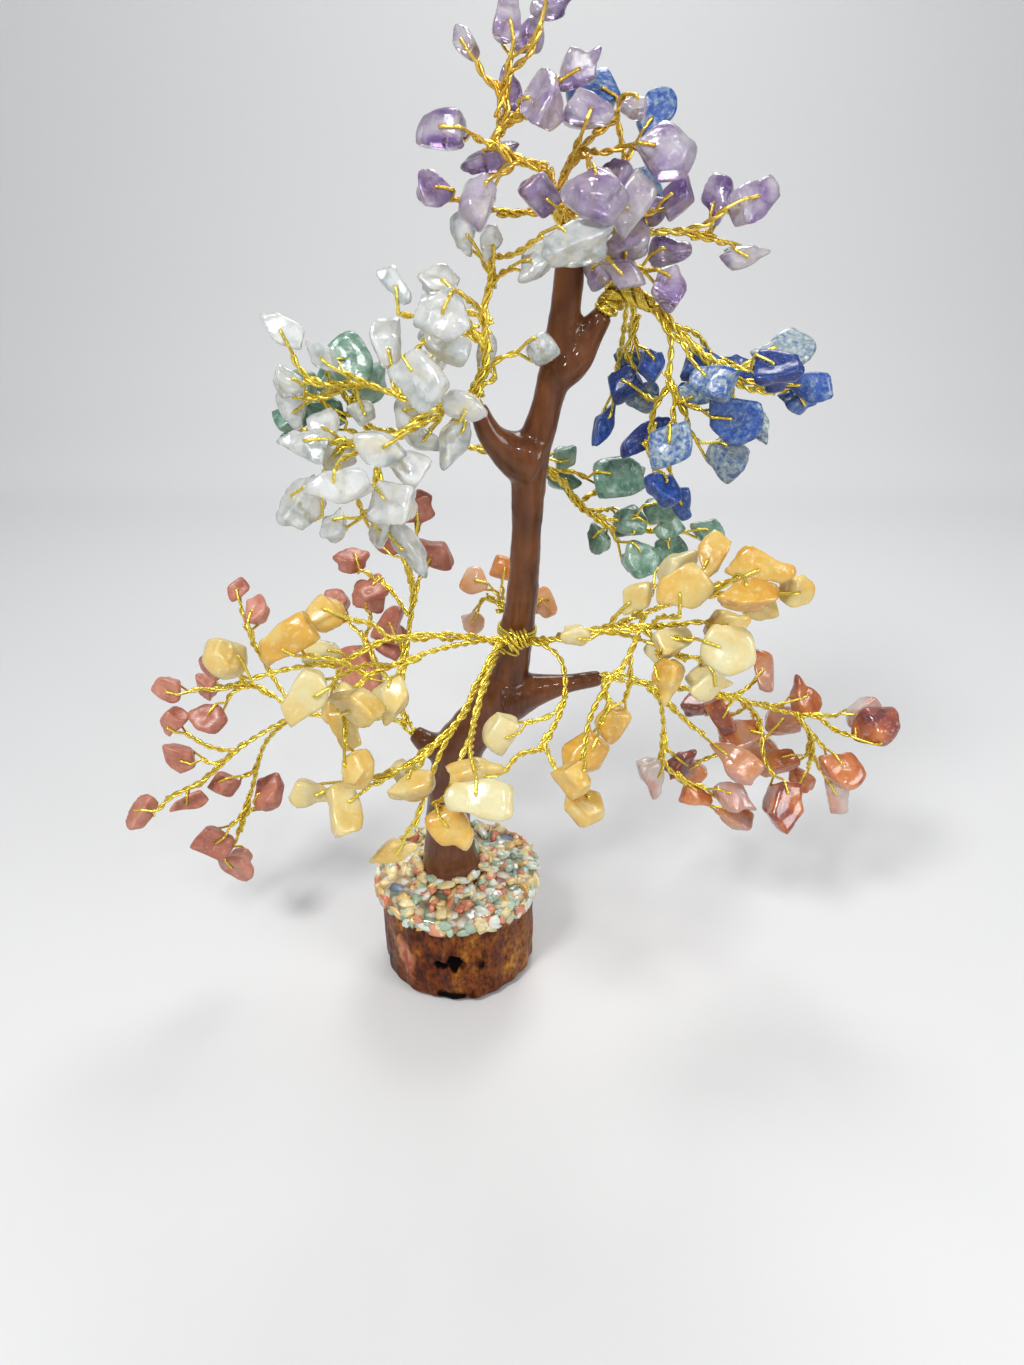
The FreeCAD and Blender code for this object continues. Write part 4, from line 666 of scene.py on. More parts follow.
# Stones and grit: name; the ramp's stops; the veil's red, green, blue and strength in thousandths;
# the mottle's scale, fine scale, tone share and contrast; roughness, clearness, glow, bump and coat
STONE_LOOKS = (
    ("amethyst", ((160, 130, 55, 260), (360, 340, 225, 470), (540, 560, 480, 630), (740, 740, 700, 740),
     (900, 840, 820, 800)), (860, 820, 840, 400), (125, 900, 0.42, 2.8), 0.09, 0.64, 0.15, 0.7, 0.4),
    ("clear_quartz", ((100, 500, 560, 560), (360, 780, 825, 820), (620, 950, 965, 960)),
     (970, 980, 980, 700), (200, 700, 0.3, 2.8), 0.06, 0.6, 0.15, 0.8, 0.35),
    ("green_aventurine", ((140, 45, 125, 85), (400, 125, 270, 195), (640, 270, 430, 340),
     (880, 480, 590, 500)), (520, 660, 560, 500), (260, 1100, 0.45, 2.6), 0.22, 0.25, 0.2, 0.5, 0.15),
    ("lapis", ((220, 8, 24, 150), (460, 16, 64, 300), (570, 55, 125, 310), (690, 185, 250, 310),
     (880, 420, 465, 450)), (260, 330, 400, 350), (800, 2200, 0.64, 2.8), 0.3, 0, 0, 0.08, 0.1),
    ("yellow_aventurine", ((120, 590, 270, 22), (380, 720, 430, 75), (600, 750, 570, 200),
     (860, 720, 660, 390)), (840, 760, 460, 450), (120, 650, 0.64, 2.5), 0.26, 0.12, 0.25, 0.7, 0.2),
    ("carnelian", ((160, 190, 60, 65), (320, 430, 110, 65), (460, 700, 220, 55), (580, 720, 350, 170),
     (700, 620, 340, 290), (840, 700, 610, 560)), (800, 660, 580, 350), (110, 900, 0.66, 2.8),
     0.17, 0.36, 0.25, 0.25, 0.2),
    ("red_jasper", ((120, 270, 75, 50), (500, 430, 145, 92), (840, 560, 250, 175)), (640, 360, 280, 400),
     (220, 900, 0.45, 2.4), 0.4, 0, 0.05, 0.4, 0.06),
    ("orange_aventurine", ((140, 600, 190, 30), (460, 740, 290, 60), (720, 740, 440, 270),
     (920, 760, 560, 460)), (800, 600, 460, 350), (150, 900, 0.65, 2.4), 0.18, 0, 0.25, 0.5, 0.3),
    ("cream_grit", ((200, 660, 370, 90), (500, 760, 580, 260), (800, 800, 720, 420)),
     (800, 740, 560, 300), MOTTLING, 0.26, 0, 0.2, 0.5, 0.3),
    ("red_grit", ((200, 520, 120, 50), (800, 720, 310, 170)), (760, 500, 360, 300),
     MOTTLING, 0.26, 0, 0.1, 0.5, 0.3),
    ("green_grit", ((200, 280, 400, 290), (800, 560, 660, 500)), (660, 740, 600, 400),
     MOTTLING, 0.24, 0.1, 0.2, 0.5, 0.3),
    ("white_grit", ((200, 660, 720, 600), (800, 840, 860, 760)), (880, 900, 840, 300),
     MOTTLING, 0.22, 0.1, 0.2, 0.5, 0.3),
    ("blue_grit", ((200, 120, 180, 340), (800, 320, 400, 500)), (520, 580, 620, 400),
     MOTTLING, 0.14, 0, 0, 0.5, 0.7),
)
SKINS = {name: stone_material(name, *look) for name, *look in STONE_LOOKS}


# Stones and the wires folded through them

NO_QUADS = np.zeros((0, 4), int)


def sphere_directions(detail):
    """Unit directions and faces of an icosahedron whose faces are split in four, detail times."""
    g = (1 + math.sqrt(5)) / 2
    verts = unit(np.array([np.roll((a, b, 0), turn) for turn in range(3) for b in (g, -g)
                           for a in (-1, 1)]))
    tris = np.array([(0, 11, 5), (0, 5, 1), (0, 1, 7), (0, 7, 10), (0, 10, 11), (1, 5, 9), (5, 11, 4),
                     (11, 10, 2), (10, 7, 6), (7, 1, 8), (3, 9, 4), (3, 4, 2), (3, 2, 6), (3, 6, 8),
                     (3, 8, 9), (4, 9, 5), (2, 4, 11), (6, 2, 10), (8, 6, 7), (9, 8, 1)])
    for _ in range(detail):
        a, b, c = tris.T
        sides = np.sort(np.vstack([np.stack(side, 1) for side in ((a, b), (b, c), (c, a))]), axis=1)
        pairs, where = np.unique(sides, axis=0, return_inverse=True)
        ab, bc, ca = np.split(where.ravel() + len(verts), 3)
        verts = np.vstack([verts, unit(verts[pairs[:, 0]] + verts[pairs[:, 1]])])
        tris = np.vstack([np.stack(t, 1) for t in ((a, ab, ca), (b, bc, ab), (c, ca, bc), (ab, bc, ca))])
    return verts, tris


SPHERE = sphere_directions(STONE_DETAIL)


def node_solids(node):
    """A CAD node's separate solids, each as its corners in millimetres and its triangles.

    Each corner takes the least number of those it shares a triangle with, until none changes."""
    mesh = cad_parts[node].data
    mesh.calc_loop_triangles()
    co = np.empty(len(mesh.vertices) * 3)
    mesh.vertices.foreach_get("co", co)
    tris = np.empty(len(mesh.loop_triangles) * 3, np.int32)
    mesh.loop_triangles.foreach_get("vertices", tris)
    verts, merged = np.unique(np.round(co.reshape(-1, 3) / MM, 3), axis=0, return_inverse=True)
    tris = merged.ravel()[tris].reshape(-1, 3)
    spread = np.arange(len(verts))
    label = None
    while not np.array_equal(spread, label):
        label = spread
        spread = label.copy()
        np.minimum.at(spread, tris.ravel(), np.repeat(label[tris].min(axis=1), 3))
    for mark in np.unique(label):
        own = tris[label[tris[:, 0]] == mark]
        used, local = np.unique(own, return_inverse=True)
        yield verts[used], local.reshape(-1, 3)


def outer_flats(verts, tris):
    """Middle, and the normals and distances from it of the flats the whole solid lies behind."""
    middle = (verts.min(axis=0) + verts.max(axis=0)) / 2
    a, b, c = (verts[tris[:, k]] for k in range(3))
    normal = np.cross(b - a, c - a)
    area = np.linalg.norm(normal, axis=1)
    real = area > 1e-3
    normal = normal[real] / area[real, None]
    reach = ((a - middle)[real] * normal).sum(axis=1)
    keep = ((verts - middle) @ normal.T).max(axis=0) <= reach + 0.01
    flats = np.unique(np.round(np.column_stack([normal[keep], reach[keep]]), 2), axis=0)
    return middle, unit(flats[:, :3]), flats[:, 3]


class Stone:
    """A tumbled chip: each flat of its blank and some broken corners, softened into one skin."""

    def __init__(self, middle, normals, reaches, corners, rng, edge):
        self.middle = middle
        spread = corners - middle
        _, _, self.axes = np.linalg.svd(spread - spread.mean(axis=0), full_matrices=False)
        self.halves = np.abs(spread @ self.axes.T).max(axis=0)
        chips = self.scattered(rng, BROKEN_CORNERS)
        support = (spread @ chips.T).max(axis=0)
        self.normals = np.vstack([normals, chips])
        self.reaches = np.concatenate([reaches, support * rng.uniform(*CORNER_REACHES, BROKEN_CORNERS)])
        self.power = edge * rng.uniform(*EDGE_SHARES)
        self.waves = rng.normal(size=(3, 3)) * RIPPLE_TURNS
        self.phases = rng.uniform(0, math.tau, 3)
        self.dents = self.scattered(rng, DENTS)
        self.depths = rng.uniform(*DENT_DEPTHS, DENTS)
        self.spans = rng.uniform(*DENT_SPANS, DENTS)
        self.taper = rng.uniform(*TAPERS) * rng.choice((-1, 1))

    def scattered(self, rng, count):
        """Random directions, more of them towards the stone's flat sides."""
        return unit(rng.normal(size=(count, 3)) @ (self.axes / self.halves[:, None]))

    def radius(self, directions):
        """The flats' distances joined by a power mean, one end slimmer, with waves and dents."""
        facing = np.maximum(directions @ self.normals.T / self.reaches, 0)
        radius = (facing ** self.power).sum(axis=1) ** (-1 / self.power)
        ripple = np.sin(directions @ self.waves.T + self.phases).sum(axis=1)
        dents = (self.depths * np.exp((directions @ self.dents.T - 1) / self.spans)).sum(axis=1)
        lean = unit(directions @ self.axes.T / self.halves)[:, 0]
        slim = self.taper * lean * (1 - lean ** 2)
        return radius * STONE_SWELL * (1.01 + RIPPLE * ripple - dents - slim)

    def reach(self, direction):
        return self.radius(direction[None])[0]

    def surface(self):
        """The skin, with directions closer together towards the stone's ends."""
        directions = unit(SPHERE[0] @ (self.axes * self.halves[:, None]))
        verts = self.middle + directions * self.radius(directions)[:, None]
        mirrored = np.linalg.det(self.axes) < 0
        return verts, NO_QUADS, SPHERE[1][:, ::-1] if mirrored else SPHERE[1]

    def lifted(self, points, lift):
        """Points moved onto the skin along the line from the middle, raised by the lift."""
        direction = unit(points - self.middle)
        return self.middle + direction * (self.radius(direction) + lift)[:, None]


def small_stone(row, rng):
    """A small stone that the solids leave out, from its place, length, width and lean."""
    length, width, lean, _ = row[3:]
    middle = place(np.array(row[:3]) / 1000)
    lean = math.radians(lean)
    along = unit(np.array([math.cos(lean), 0, 0]) + VIEW_UP * math.sin(lean) + VIEW * 0.2)
    across = squared(unit(np.cross(VIEW, along) + VIEW * rng.uniform(-0.5, 0.5)), along)
    axes = np.stack([along, across, np.cross(along, across)])
    halves = np.array([length, width, width * 0.72]) / 2
    signs = np.array([(a, b, c) for a in (-1, 1) for b in (-1, 1) for c in (-1, 1)])
    corners = middle + (signs * halves) @ axes
    return Stone(middle, np.vstack([axes, -axes]), np.tile(halves, 2), corners, rng, EXTRA_EDGE)


def part_from(stone, others):
    """Slides a stone along the view, each time a little farther, until it clears the others."""
    home = stone.middle
    for step in range(PART_STEPS):
        stone.middle = home + VIEW * (step // 2 + 1) * PART_STEP * (-1) ** step * (step > 0)
        for other in others:
            run = other.middle - stone.middle
            gap = np.linalg.norm(run)
            if gap < stone.reach(run / gap) + other.reach(-run / gap) + PART_GAP:
                break
        else:
            return


def new_stations(stone, lines):
    """A folded wire's stations for a stone that has none: seat, fork, rim, bore and its end."""
    near, _, radius = nearest_on_boughs(stone.middle, lines)
    ahead = unit(stone.middle - near)
    face = squared(stone.axes[2], ahead)
    reach = stone.reach(-ahead)
    thick = stone.reach(face)
    rim = stone.middle - ahead * reach
    bore = stone.middle - ahead * (reach - BORE_INSET)
    fork = rim - ahead * min(EYE_NECK, np.linalg.norm(rim - near) * 0.5)
    seat = near + unit(fork - near) * radius
    return np.array([seat, fork, rim + face * thick * 0.5, bore + face * thick, bore - face * thick])


def twig_stations(verts, tris):
    """The places along a folded wire: the middles of its rings, from the seat outwards."""
    a, b, c = (verts[tris[:, k]] for k in range(3))
    sides = np.stack([np.linalg.norm(run, axis=1) for run in (a - b, b - c, c - a)], axis=1)
    seat = np.abs(sides - SEAT_SIDE).max(axis=1).argmin()
    seen = set(tris[seat].tolist())
    ring = list(seen)
    middles = [verts[ring].mean(axis=0)]
    while len(seen) < len(verts):
        touching = tris[np.isin(tris, ring).any(axis=1)]
        ring = [v for v in np.unique(touching).tolist() if v not in seen]
        seen.update(ring)
        middles.append(verts[ring].mean(axis=0))
    return np.array(middles)


def nearest_on_boughs(point, lines):
    """The nearest place on a limb's boughs, the bough's heading there and its radius."""
    found = []
    for points, start, end in lines:
        a = points[:-1]
        run = points[1:] - a
        share = np.clip(((point - a) * run).sum(axis=1) / (run ** 2).sum(axis=1), 0, 1)
        near = a + run * share[:, None]
        gap = np.linalg.norm(point - near, axis=1)
        k = gap.argmin()
        radius = start + (end - start) * (k + share[k]) / len(a)
        found.append((gap[k], near[k], unit(run[k]), radius))
    return min(found, key=lambda place_found: place_found[0])[1:]


def folded_wire(stations, stone, lines, rng):
    """One wire: wound up the twig, over the stone, through its bore, back and wound down."""
    seat, fork, rim, over, under = stations[:5]
    near, ahead, _ = nearest_on_boughs(seat, lines)
    off = seat - near
    lead = [near + off * 0.55 - ahead * LEAD_LENGTH, near + off * 0.75 - ahead * LEAD_LENGTH * 0.45]
    run = fork - seat
    length = np.linalg.norm(run)
    bow = np.cross(run, rng.normal(size=3))
    bow = bow / np.linalg.norm(bow) * min(length * BOW_SHARE, BOW_MOST)
    middle = [seat + run * 0.5 + bow] if length > LONG_TWIG else []
    line = smooth_line(np.array(lead + [seat] + middle + [fork]), WIRE_STEP)
    side, other = carried_frame(line)
    face = unit(over - under)
    last = math.atan2(face.dot(other[-1]), face.dot(side[-1]))
    gone = lengths(line)
    lay = 1 if rng.random() < USUAL_LAYS else SLACK_LAY
    out = turned(last - (gone[-1] - gone) / PAIR_PITCH * math.tau * lay, side, other)
    t = np.linspace(0, 1, 4)[:, None]
    touch = WIRE_RADIUS + SKIN_GAP
    front = stone.lifted(rim + (over - rim) * t, touch)
    bore = stone.lifted(np.stack([over, under]), -BORE_SINK)
    back = stone.lifted(under + (rim + (under - over) - under) * t, touch)
    up = line + out * PAIR_OFFSET
    down = line - out * PAIR_OFFSET
    fold = smooth_line(np.vstack([up[-2:], front, bore, back, down[-1:-3:-1]]), WIRE_STEP * 0.8)
    return np.vstack([up[:-2], fold, down[-3::-1]])


def make_chips():
    """Every limb's stones and the folded wires that carry them; gives each limb's wire seats."""
    rng = np.random.default_rng(41)
    seats = {}
    blanks = {}
    for name in CHIP_GROUPS:
        _, edge = LIMB_STONES[name.split("_")[0]]
        blanks[name] = [Stone(*outer_flats(verts, tris), verts, rng, edge)
                        for verts, tris in node_solids(name + "_stones")]
    placed = [stone for stones in blanks.values() for stone in stones]
    for name, stones in blanks.items():
        limb = name.split("_")[0]
        slot, _ = LIMB_STONES[limb]
        lines = bough_lines(limb)
        heap = Heap()
        for k, stone in enumerate(stones):
            tone = TONES[name][k] / 100 if name in TONES else rng.uniform(*OTHER_TONES)
            heap.add(stone.surface(), tone)
        spare = []
        for row in EXTRA_STONES.get(name, ()):
            stone = small_stone(row, rng)
            part_from(stone, placed)
            placed.append(stone)
            spare.append(stone)
            heap.add(stone.surface(), row[-1] / 100)
        heap.piece(name + "_tumbled", SKINS[slot], slot, name + "_stones")
        middles = np.array([stone.middle for stone in stones])
        wires = Heap()
        for verts, tris in node_solids(name + "_twigs"):
            stations = twig_stations(verts, tris)
            bore = (stations[3] + stations[4]) / 2
            nearest = np.argsort(np.linalg.norm(middles - bore, axis=1))[:4]
            depths = [((bore - stones[i].middle) @ stones[i].normals.T - stones[i].reaches).max()
                      for i in nearest]
            stone = stones[nearest[np.argmin(depths)]]
            wires.wire(folded_wire(stations, stone, lines, rng), rng.random())
            seats.setdefault(limb, []).append(stations[0])
        for stone in spare:
            wires.wire(folded_wire(new_stations(stone, lines), stone, lines, rng), rng.random())
        wires.piece(name + "_wires", GILT, "gilt_wire", name + "_twigs")
    return seats


# Boughs

def pairs_in(radius):
    """How many twisted pairs fill a bundle of this radius."""
    return max(1, int(round(radius / BOUGH_DIAMETER * 6 - 0.4)))


def used_share(line, starts):
    """How much of a bough carries something: up to the farthest start of a twig or a fork."""
    gap = np.linalg.norm(line[:, None] - np.asarray(starts)[None], axis=2)
    nearest = gap.argmin(axis=0)[gap.min(axis=0) < BOUGH_DIAMETER]
    return (nearest.max() + 2) / len(line) if len(nearest) else 1.0


def first_part(line, share):
    return line[:max(int(len(line) * share), 4)]


def make_boughs(limb, seats):
    """A limb's bundles: twisted pairs laid round one another, fewer towards each end."""
    rng = np.random.default_rng(len(limb) * 7 + 5)
    heap = Heap()
    lines = bough_lines(limb)
    forks = [points[0] for points, _, _ in lines[1:]]
    for points, start, end in lines:
        line = smooth_line(points, WIRE_STEP)
        gone = lengths(line) / lengths(line)[-1]
        line = first_part(line, used_share(line, seats + forks))
        count = pairs_in(start)
        first = rng.uniform(0, math.tau)
        for k in range(count):
            own = first_part(line, 1.0 if k < pairs_in(end) else 1.0 - 0.55 * (k + rng.random()) / count)
            share = gone[:len(own)]
            radius = np.maximum((start + (end - start) * share) - BUNDLE_SINK, 0) * (count > 1)
            wander = 1 + 0.25 * np.sin(share * rng.uniform(6, 14) + rng.uniform(0, 6))
            core = strand(own, radius * wander, BUNDLE_PITCH.get(limb, USUAL_BUNDLE_PITCH),
                          first + math.tau * k / count)
            for half in (0, math.pi):
                heap.wire(strand(core, PAIR_OFFSET, PAIR_PITCH, half + k), rng.random())
    heap.piece(limb + "_strands", GILT, "gilt_wire", limb + "_boughs")


# Wraps

def winding(middle, axis, radius, turns, pitch, wobble, rng, tilt=(0, 0, 0)):
    """A wire wound about an axis, its radius swelling and shrinking a little with the turns."""
    axis = unit(np.asarray(axis, float) + np.asarray(tilt))
    side = unit(np.cross(axis, farthest_axis(axis)))
    other = np.cross(axis, side)
    angle = np.linspace(0, turns * math.tau, int(turns * TURN_STATIONS))
    phase = rng.uniform(0, math.tau)
    slow = wobble * np.sin(angle * 0.37 + phase)
    quick = wobble * 0.6 * np.sin(angle * 1.1 + phase)
    swell = radius * (1 + slow + quick)
    return (middle + side * (np.cos(angle) * swell)[:, None] + other * (np.sin(angle) * swell)[:, None]
            + axis * ((angle / math.tau - turns / 2) * pitch)[:, None])


# The trunk's tie: turns, pitch and wobble; and the front binding's coils: how far out, turns,
# pitch, shift from its middle and tilt
TIE = (2.6, 0.9, 0.008)
BINDING_COILS = ((0.5, 5.2, 1.05, (0.2, 0, 0.5), (0, 0.1, 0.30)),
                 (1.1, 2.2, 1.30, (-0.9, 0, 0.4), (0, 0.2, 0.70)),
                 (2.0, 1.3, 0.90, (-3.0, -0.3, -1.4), (0, 1.2, 1.0)))


def make_wraps():
    """The tie round the trunk, the turns that bind the front bundle, and two limb wraps."""
    rng = np.random.default_rng(9)
    heap = Heap()
    before, middle, after = place(TRUNK_SHARES[WRAP_ROW - 1:WRAP_ROW + 2, :3])
    tie = WRAP_RADIUS + WIRE_RADIUS + TIE_GAP
    heap.wire(winding(middle, unit(after - before), tie, *TIE, rng))
    bundle = BOUGH_DIAMETER / 2 + WIRE_RADIUS
    for out, turns, pitch, shift, tilt in BINDING_COILS:
        coil = winding(BINDING_MIDDLE + shift, (1, 0, 0), bundle + out, turns, pitch, 0.03, rng, tilt)
        heap.wire(coil, sides=8)
    for limb in WRAPPED_LIMBS:
        end, way = socket_end(limb)
        for k in range(2):
            middle = end + way * (WRAP_RUN / 2 + 0.3 * k)
            heap.wire(winding(middle, way, bundle + 0.75 + 0.22 * k, 1.7 + 0.3 * k, 2.3 - 0.25 * k,
                              0.06, rng, rng.normal(size=3) * 0.12))
        points, start, _ = bough_lines(limb)[0]
        own = smooth_line(points, WIRE_STEP)
        own = own[int(SOCKET_DEPTH / WIRE_STEP):int((SOCKET_DEPTH + SHEATH_LENGTH) / WIRE_STEP)]
        ease = np.minimum(1, (lengths(own)[-1] - lengths(own)) / 6)
        for k in range(SHEATH_WIRES):
            radius = (start + 0.55 + 0.30 * rng.random()) * (0.62 + 0.38 * ease)
            heap.wire(strand(own, radius, SHEATH_PITCH, k // 4 * math.tau / 3 + k % 4 * 0.38))
    heap.piece("wound_wires", GILT, "gilt_wire", "wire_wraps")


# Trunk

def clay_limb(rows, flare=0.0):
    """A round limb through table rows: smooth line, radius eased between the rows, small lumps.

    A flare thickens it towards its first row, where it grows out of the trunk: a share of
    its radius that falls off as a bell curve of the length gone."""
    radii = rows[:, 3:] * TRUNK_DIAMETER / 2 + CLAY_EXTRA
    line = smooth_line(np.hstack([place(rows[:, :3]), radii]), 1.2)
    gone = lengths(line[:, :3])
    radius = line[:, 3] * (1 + 0.025 * np.sin(gone * 0.55) + 0.015 * np.sin(gone * 1.7 + 1)
                           + flare * np.exp(-(gone / FLARE_LENGTH) ** 2))
    return tube(line[:, :3], radius, 28)


def make_trunk():
    """The clay trunk with its stubs, grown together and smoothed."""
    heap = Heap()
    foot = (*TRUNK_SHARES[0][:2], -BED_HEIGHT / TRUNK_HEIGHT + 0.0005, 1.65)
    heap.add(clay_limb(np.vstack([foot, TRUNK_SHARES])))
    for limb, rows in STUB_SHARES.items():
        heap.add(clay_limb(rows, STUB_FLARES[limb]))
    obj = heap.piece("clay_trunk", CLAY, "brown_clay", "trunk")
    grow = obj.modifiers.new("grow", "REMESH")
    grow.mode = "VOXEL"
    grow.voxel_size = CLAY_VOXEL
    grow.use_smooth_shade = True
    ease = obj.modifiers.new("ease", "SMOOTH")
    ease.factor = 0.6
    ease.iterations = 16
    graph = bpy.context.evaluated_depsgraph_get()
    mesh = bpy.data.meshes.new_from_object(obj.evaluated_get(graph))
    obj.modifiers.clear()
    obj.data = mesh
    cover(mesh, CLAY)


# Base

def ring_surface(radius, angle, height):
    """A closed surface of rings, each corner at its radius, angle and height round the axis."""
    verts = around(radius, angle, height).reshape(-1, 3)
    return verts, *ring_faces(*radius.shape)


# The log: how many waves its furrows are made of, how deep they, the knot and the worn edges
# go, the knot's height as a share of the log's, and scorched places on the front: how dark, how
# far across and up, and how wide and tall, in millimetres
FURROW_WAVES = 26
FURROW_DEPTH = 1.5
KNOT_DEPTH = 2.4
EDGE_WEAR = 0.9
KNOT_SHARE = 0.53
SCORCHES = ((0.5, -1.0, 1.5, 6.0, 2.6), (0.35, 8.5, 15.0, 3.0, 5.0), (0.25, -30.0, 12.0, 6.0, 6.0))


def make_log():
    """The slice: rings round the axis whose radius follows furrows, flakes and the knot."""
    rng = np.random.default_rng(3)
    sides, rows = 300, 64
    angle = np.arange(sides)[None, :] * math.tau / sides
    height = np.linspace(0, LOG_HEIGHT, rows)[:, None]
    depth = np.zeros((rows, sides))
    for _ in range(FURROW_WAVES):
        k = rng.integers(3, 24)
        deep = rng.uniform(0.1, 0.5) / k ** 0.35
        turn = k * angle + rng.uniform(0, 6)
        sway = rng.uniform(-1.6, 1.6)
        bend = height * rng.uniform(0.05, 0.5) + rng.uniform(0, 6)
        depth += deep * np.sin(turn + sway * np.sin(bend))
    depth = depth - depth.max()
    depth = depth / -depth.min()
    furrow = np.clip((-depth - 0.55) / 0.45, 0, 1)
    across = (angle - 1.5 * math.pi) * LOG_RADIUS
    above = height - LOG_HEIGHT * KNOT_SHARE
    turn = np.arctan2(above, across)
    from_knot = np.hypot(across / 0.75, above / 1.15)
    from_knot = from_knot / (1 + 0.12 * np.sin(turn * 3 + 1) + 0.07 * np.sin(turn * 7))
    beside = np.hypot((across + 4.6) / 2.6, (above + 0.8) / 1.5)
    hollow = np.maximum(np.exp(-(from_knot / 3.2) ** 4), 0.7 * np.exp(-beside ** 4))
    lip = np.exp(-((from_knot - 5.0) / 2.0) ** 2)
    radius = LOG_RADIUS - 0.15 + depth * (FURROW_DEPTH - lip) - hollow * KNOT_DEPTH
    radius = radius - EDGE_WEAR * np.exp(-np.minimum(height, LOG_HEIGHT - height) / 0.5)

    def patch(x, z, wide, tall, lean=0.0):
        return np.exp(-np.hypot((across - x + lean * height) / wide, (height - z) / tall) ** 2)

    scorch = sum(dark * patch(*where) for dark, *where in SCORCHES)
    peeled = patch(-13.5, 13.0, 4.2, 8.5, 0.28)
    # Painted shade: the tone falls in the knot's hollow, in the pocket beside it and a little in the
    # furrows; the scorches are dark patches and the peeled patch shows the skin.
    tone = 0.5 - 0.6 * hollow - 0.12 * furrow - scorch + peeled
    heap = Heap()
    heap.add(ring_surface(radius, angle, height), tone.ravel())
    heap.piece("bark_slice", BARK, "bark_wood", "log_slice")


# The resin bed: how many waves lie in its top and how high each is, and its outline from the
# top's middle round the rim and under: radius, 0, height
BED_WAVES = 14
BED_WAVE = 0.035
BED_PROFILE = ((0.02, 0, 4.9), (10, 0, 4.95), (20, 0, 4.9), (24.3, 0, 4.5), (25.3, 0, 3.2),
               (25.3, 0, 1.5), (24.6, 0, 0.35), (22.0, 0, 0.05), (0.02, 0, 0.02))


def make_bed():
    """The resin bed: a disc with a rounded rim, its top and rim gently lumpy over the grit."""
    rng = np.random.default_rng(8)
    sides = 220
    angle = np.arange(sides)[None, :] * math.tau / sides
    profile = smooth_line(BED_PROFILE, 0.45)[::-1]
    up = profile[:, 2:]
    radius = profile[:, :1] * (1 + 0.012 * np.sin(angle * 9 + up * 2))
    lumps = np.zeros((len(profile), sides))
    for _ in range(BED_WAVES):
        k = rng.normal(size=2) * 0.55
        lumps += np.sin(radius * np.cos(angle) * k[0] + radius * np.sin(angle) * k[1] + rng.uniform(0, 6))
    heap = Heap()
    heap.add(ring_surface(radius, angle, LOG_HEIGHT + up + lumps * BED_WAVE * (up / 5)))
    heap.piece("resin_cast", RESIN, "clear_resin", "resin_bed")


def make_grit():
    """Grit: small tumbled grains over the bed's top and rim, sorted into the five colours."""
    rng = np.random.default_rng(77)
    directions, tris = sphere_directions(1)
    heaps = {colour: Heap() for colour in GRAIN_SHARES}
    foot = np.array([TRUNK_SHARES[0][0] * CROWN_REACH, 0, 0])
    radius = np.sqrt(rng.uniform(0, 1, GRAINS_TOP)) * TOP_REACH
    angle = rng.uniform(0, math.tau, GRAINS_TOP)
    top = around(radius, angle, BASE_TOP + rng.uniform(-0.35, 0.35, GRAINS_TOP))
    angle = rng.uniform(0, math.tau, GRAINS_MOUND)
    up = rng.uniform(0, 1, GRAINS_MOUND)
    radius = MOUND_RADIUS - (MOUND_RADIUS - FOOT_RADIUS) * up
    mound = around(radius, angle, BASE_TOP + MOUND_HEIGHT * up) + foot
    angle = rng.uniform(0, math.tau, GRAINS_RIM)
    rim_height = rng.uniform(0.7, 4.4, GRAINS_RIM)
    rim = around(RIM_REACH + rng.uniform(-0.4, 0.35, GRAINS_RIM), angle, LOG_HEIGHT + rim_height)
    for k, middle in enumerate(np.vstack([top, mound, rim])):
        if np.hypot(*(middle - foot)[:2]) < FOOT_RADIUS:
            continue
        colour = list(heaps)[rng.choice(len(heaps), p=list(GRAIN_SHARES.values()))]
        half = np.array([rng.uniform(*span) for span in GRAIN_HALVES])
        turn = unit(rng.normal(size=3))
        lies_flat = k < GRAINS_TOP + GRAINS_MOUND
        upward = np.array([0, 0, 1.0]) if lies_flat else unit(np.append(middle[:2], 0.0))
        along = unit(np.cross(upward + rng.normal(size=3) * 0.25, turn))
        across = np.cross(upward, along)
        waves = np.sin(directions @ rng.normal(size=(3, 3)) * 3).sum(axis=1)
        spread = directions * (1 + 0.16 * waves)[:, None]
        grain = middle + (spread * half) @ np.stack([along, unit(across), unit(np.cross(along, across))])
        limit = np.hypot(grain[:, 0], grain[:, 1])
        grain[:, :2] *= np.minimum(1, (BED_RADIUS - rng.uniform(0.05, 0.9)) / limit)[:, None]
        grain[:, 2] = np.maximum(grain[:, 2], LOG_HEIGHT + rng.uniform(0.0, 0.5))
        heaps[colour].add((grain, NO_QUADS, tris), rng.random())
    for colour, heap in heaps.items():
        heap.piece("grains_" + colour, SKINS[colour + "_grit"], "grit_" + colour, "grit_" + colour)


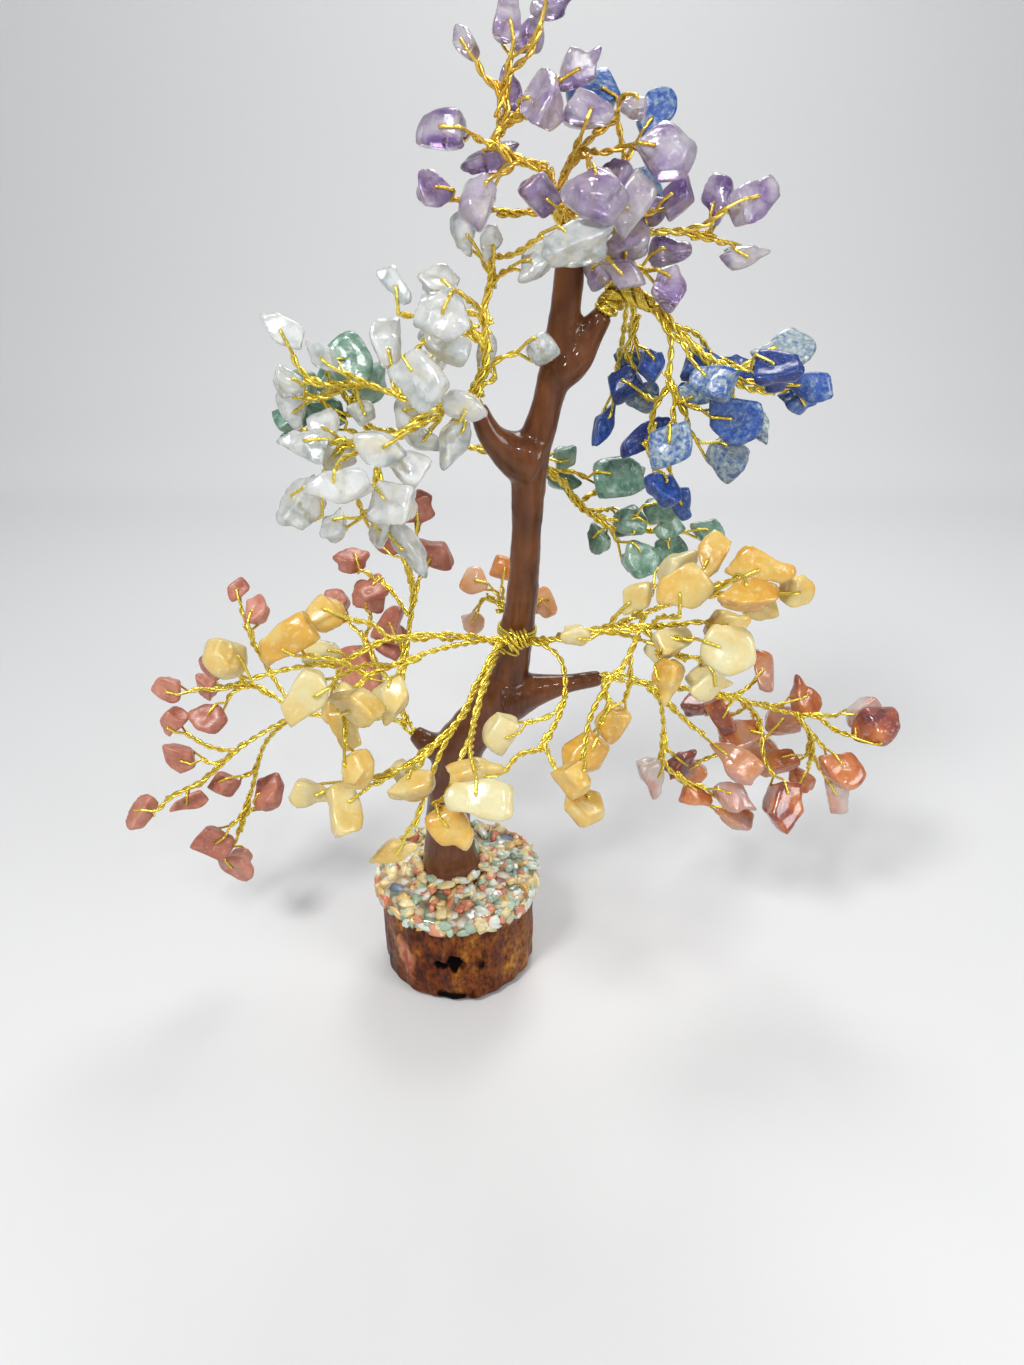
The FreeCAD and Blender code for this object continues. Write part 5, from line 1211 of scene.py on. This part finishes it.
# Stage: the backdrop's line from front to back in millimetres, then the lamps with their place
# and size in metres and their power in watts
SWEEP = ((0, -900, 0), (0, 300, 0), (0, 520, 20), (0, 640, 140), (0, 680, 500), (0, 690, 1500))
LAMPS = (("key", (-0.30, -0.45, 0.75), 0.16, 4.6), ("spark_left", (-0.12, -0.50, 0.70), 0.035, 0.30),
         ("spark_right", (0.22, -0.52, 0.62), 0.035, 0.30), ("spark_low", (0.05, -0.62, 0.42), 0.035, 0.25),
         ("fill", (0.60, -0.45, 0.40), 0.30, 2.4), ("back", (0.10, 0.45, 0.70), 0.30, 2.4))
LAMPS_LOOK_AT = (0.02, 0.0, 0.13)
CAMERA_PLACE = (0.0174, -0.246, 0.2354)
CAMERA_TILT = 61.3
CAMERA_LENS = 25.85


def make_stage():
    """A pale floor that turns up into a backdrop, lamps, a pale world and the camera."""
    scene = bpy.context.scene
    scene.view_settings.view_transform = "Standard"
    line = smooth_line(SWEEP, 20)
    across = np.linspace(-1500, 1500, 5)[None, :, None] * np.array([1.0, 0, 0])
    verts = (line[:, None] + across).reshape(-1, 3)
    i = np.arange(len(line) - 1)[:, None] * 5
    j = np.arange(4)[None, :]
    quads = np.stack([i + j, i + j + 1, i + j + 6, i + j + 5], axis=-1).reshape(-1, 4)
    paper = Material("backdrop_paper").shade(Base_Color=(0.66, 0.66, 0.66, 1), Roughness=0.95)
    show_mesh("backdrop", verts, quads.tolist(), paper)

    world = bpy.data.worlds.new("studio")
    scene.world = world
    world.use_nodes = True
    sky = world.node_tree.nodes["Background"].inputs
    sky["Color"].default_value = (0.86, 0.88, 0.92, 1)
    sky["Strength"].default_value = 0.40
    for name, spot, size, power in LAMPS:
        lamp = bpy.data.lights.new(name, "AREA")
        lamp.size = size
        lamp.energy = power
        obj = show(name, lamp)
        obj.location = spot
        x, y, z = np.array(LAMPS_LOOK_AT) - spot
        obj.rotation_euler = (math.atan2(math.hypot(x, y), -z), 0, math.atan2(-x, y))

    camera = bpy.data.cameras.new("camera")
    camera.sensor_width = 36.0
    camera.lens = CAMERA_LENS
    camera.clip_start = 0.01
    view = show("camera", camera)
    view.location = CAMERA_PLACE
    view.rotation_euler = (math.radians(CAMERA_TILT), 0, 0)
    scene.camera = view


make_log()
make_bed()
make_grit()
make_trunk()
limb_seats = make_chips()
for limb in BOUGHS:
    make_boughs(limb, limb_seats[limb])
make_wraps()
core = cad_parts["trunk_core"]
core.data.materials.clear()
core.data.materials.append(GILT)
make_stage()
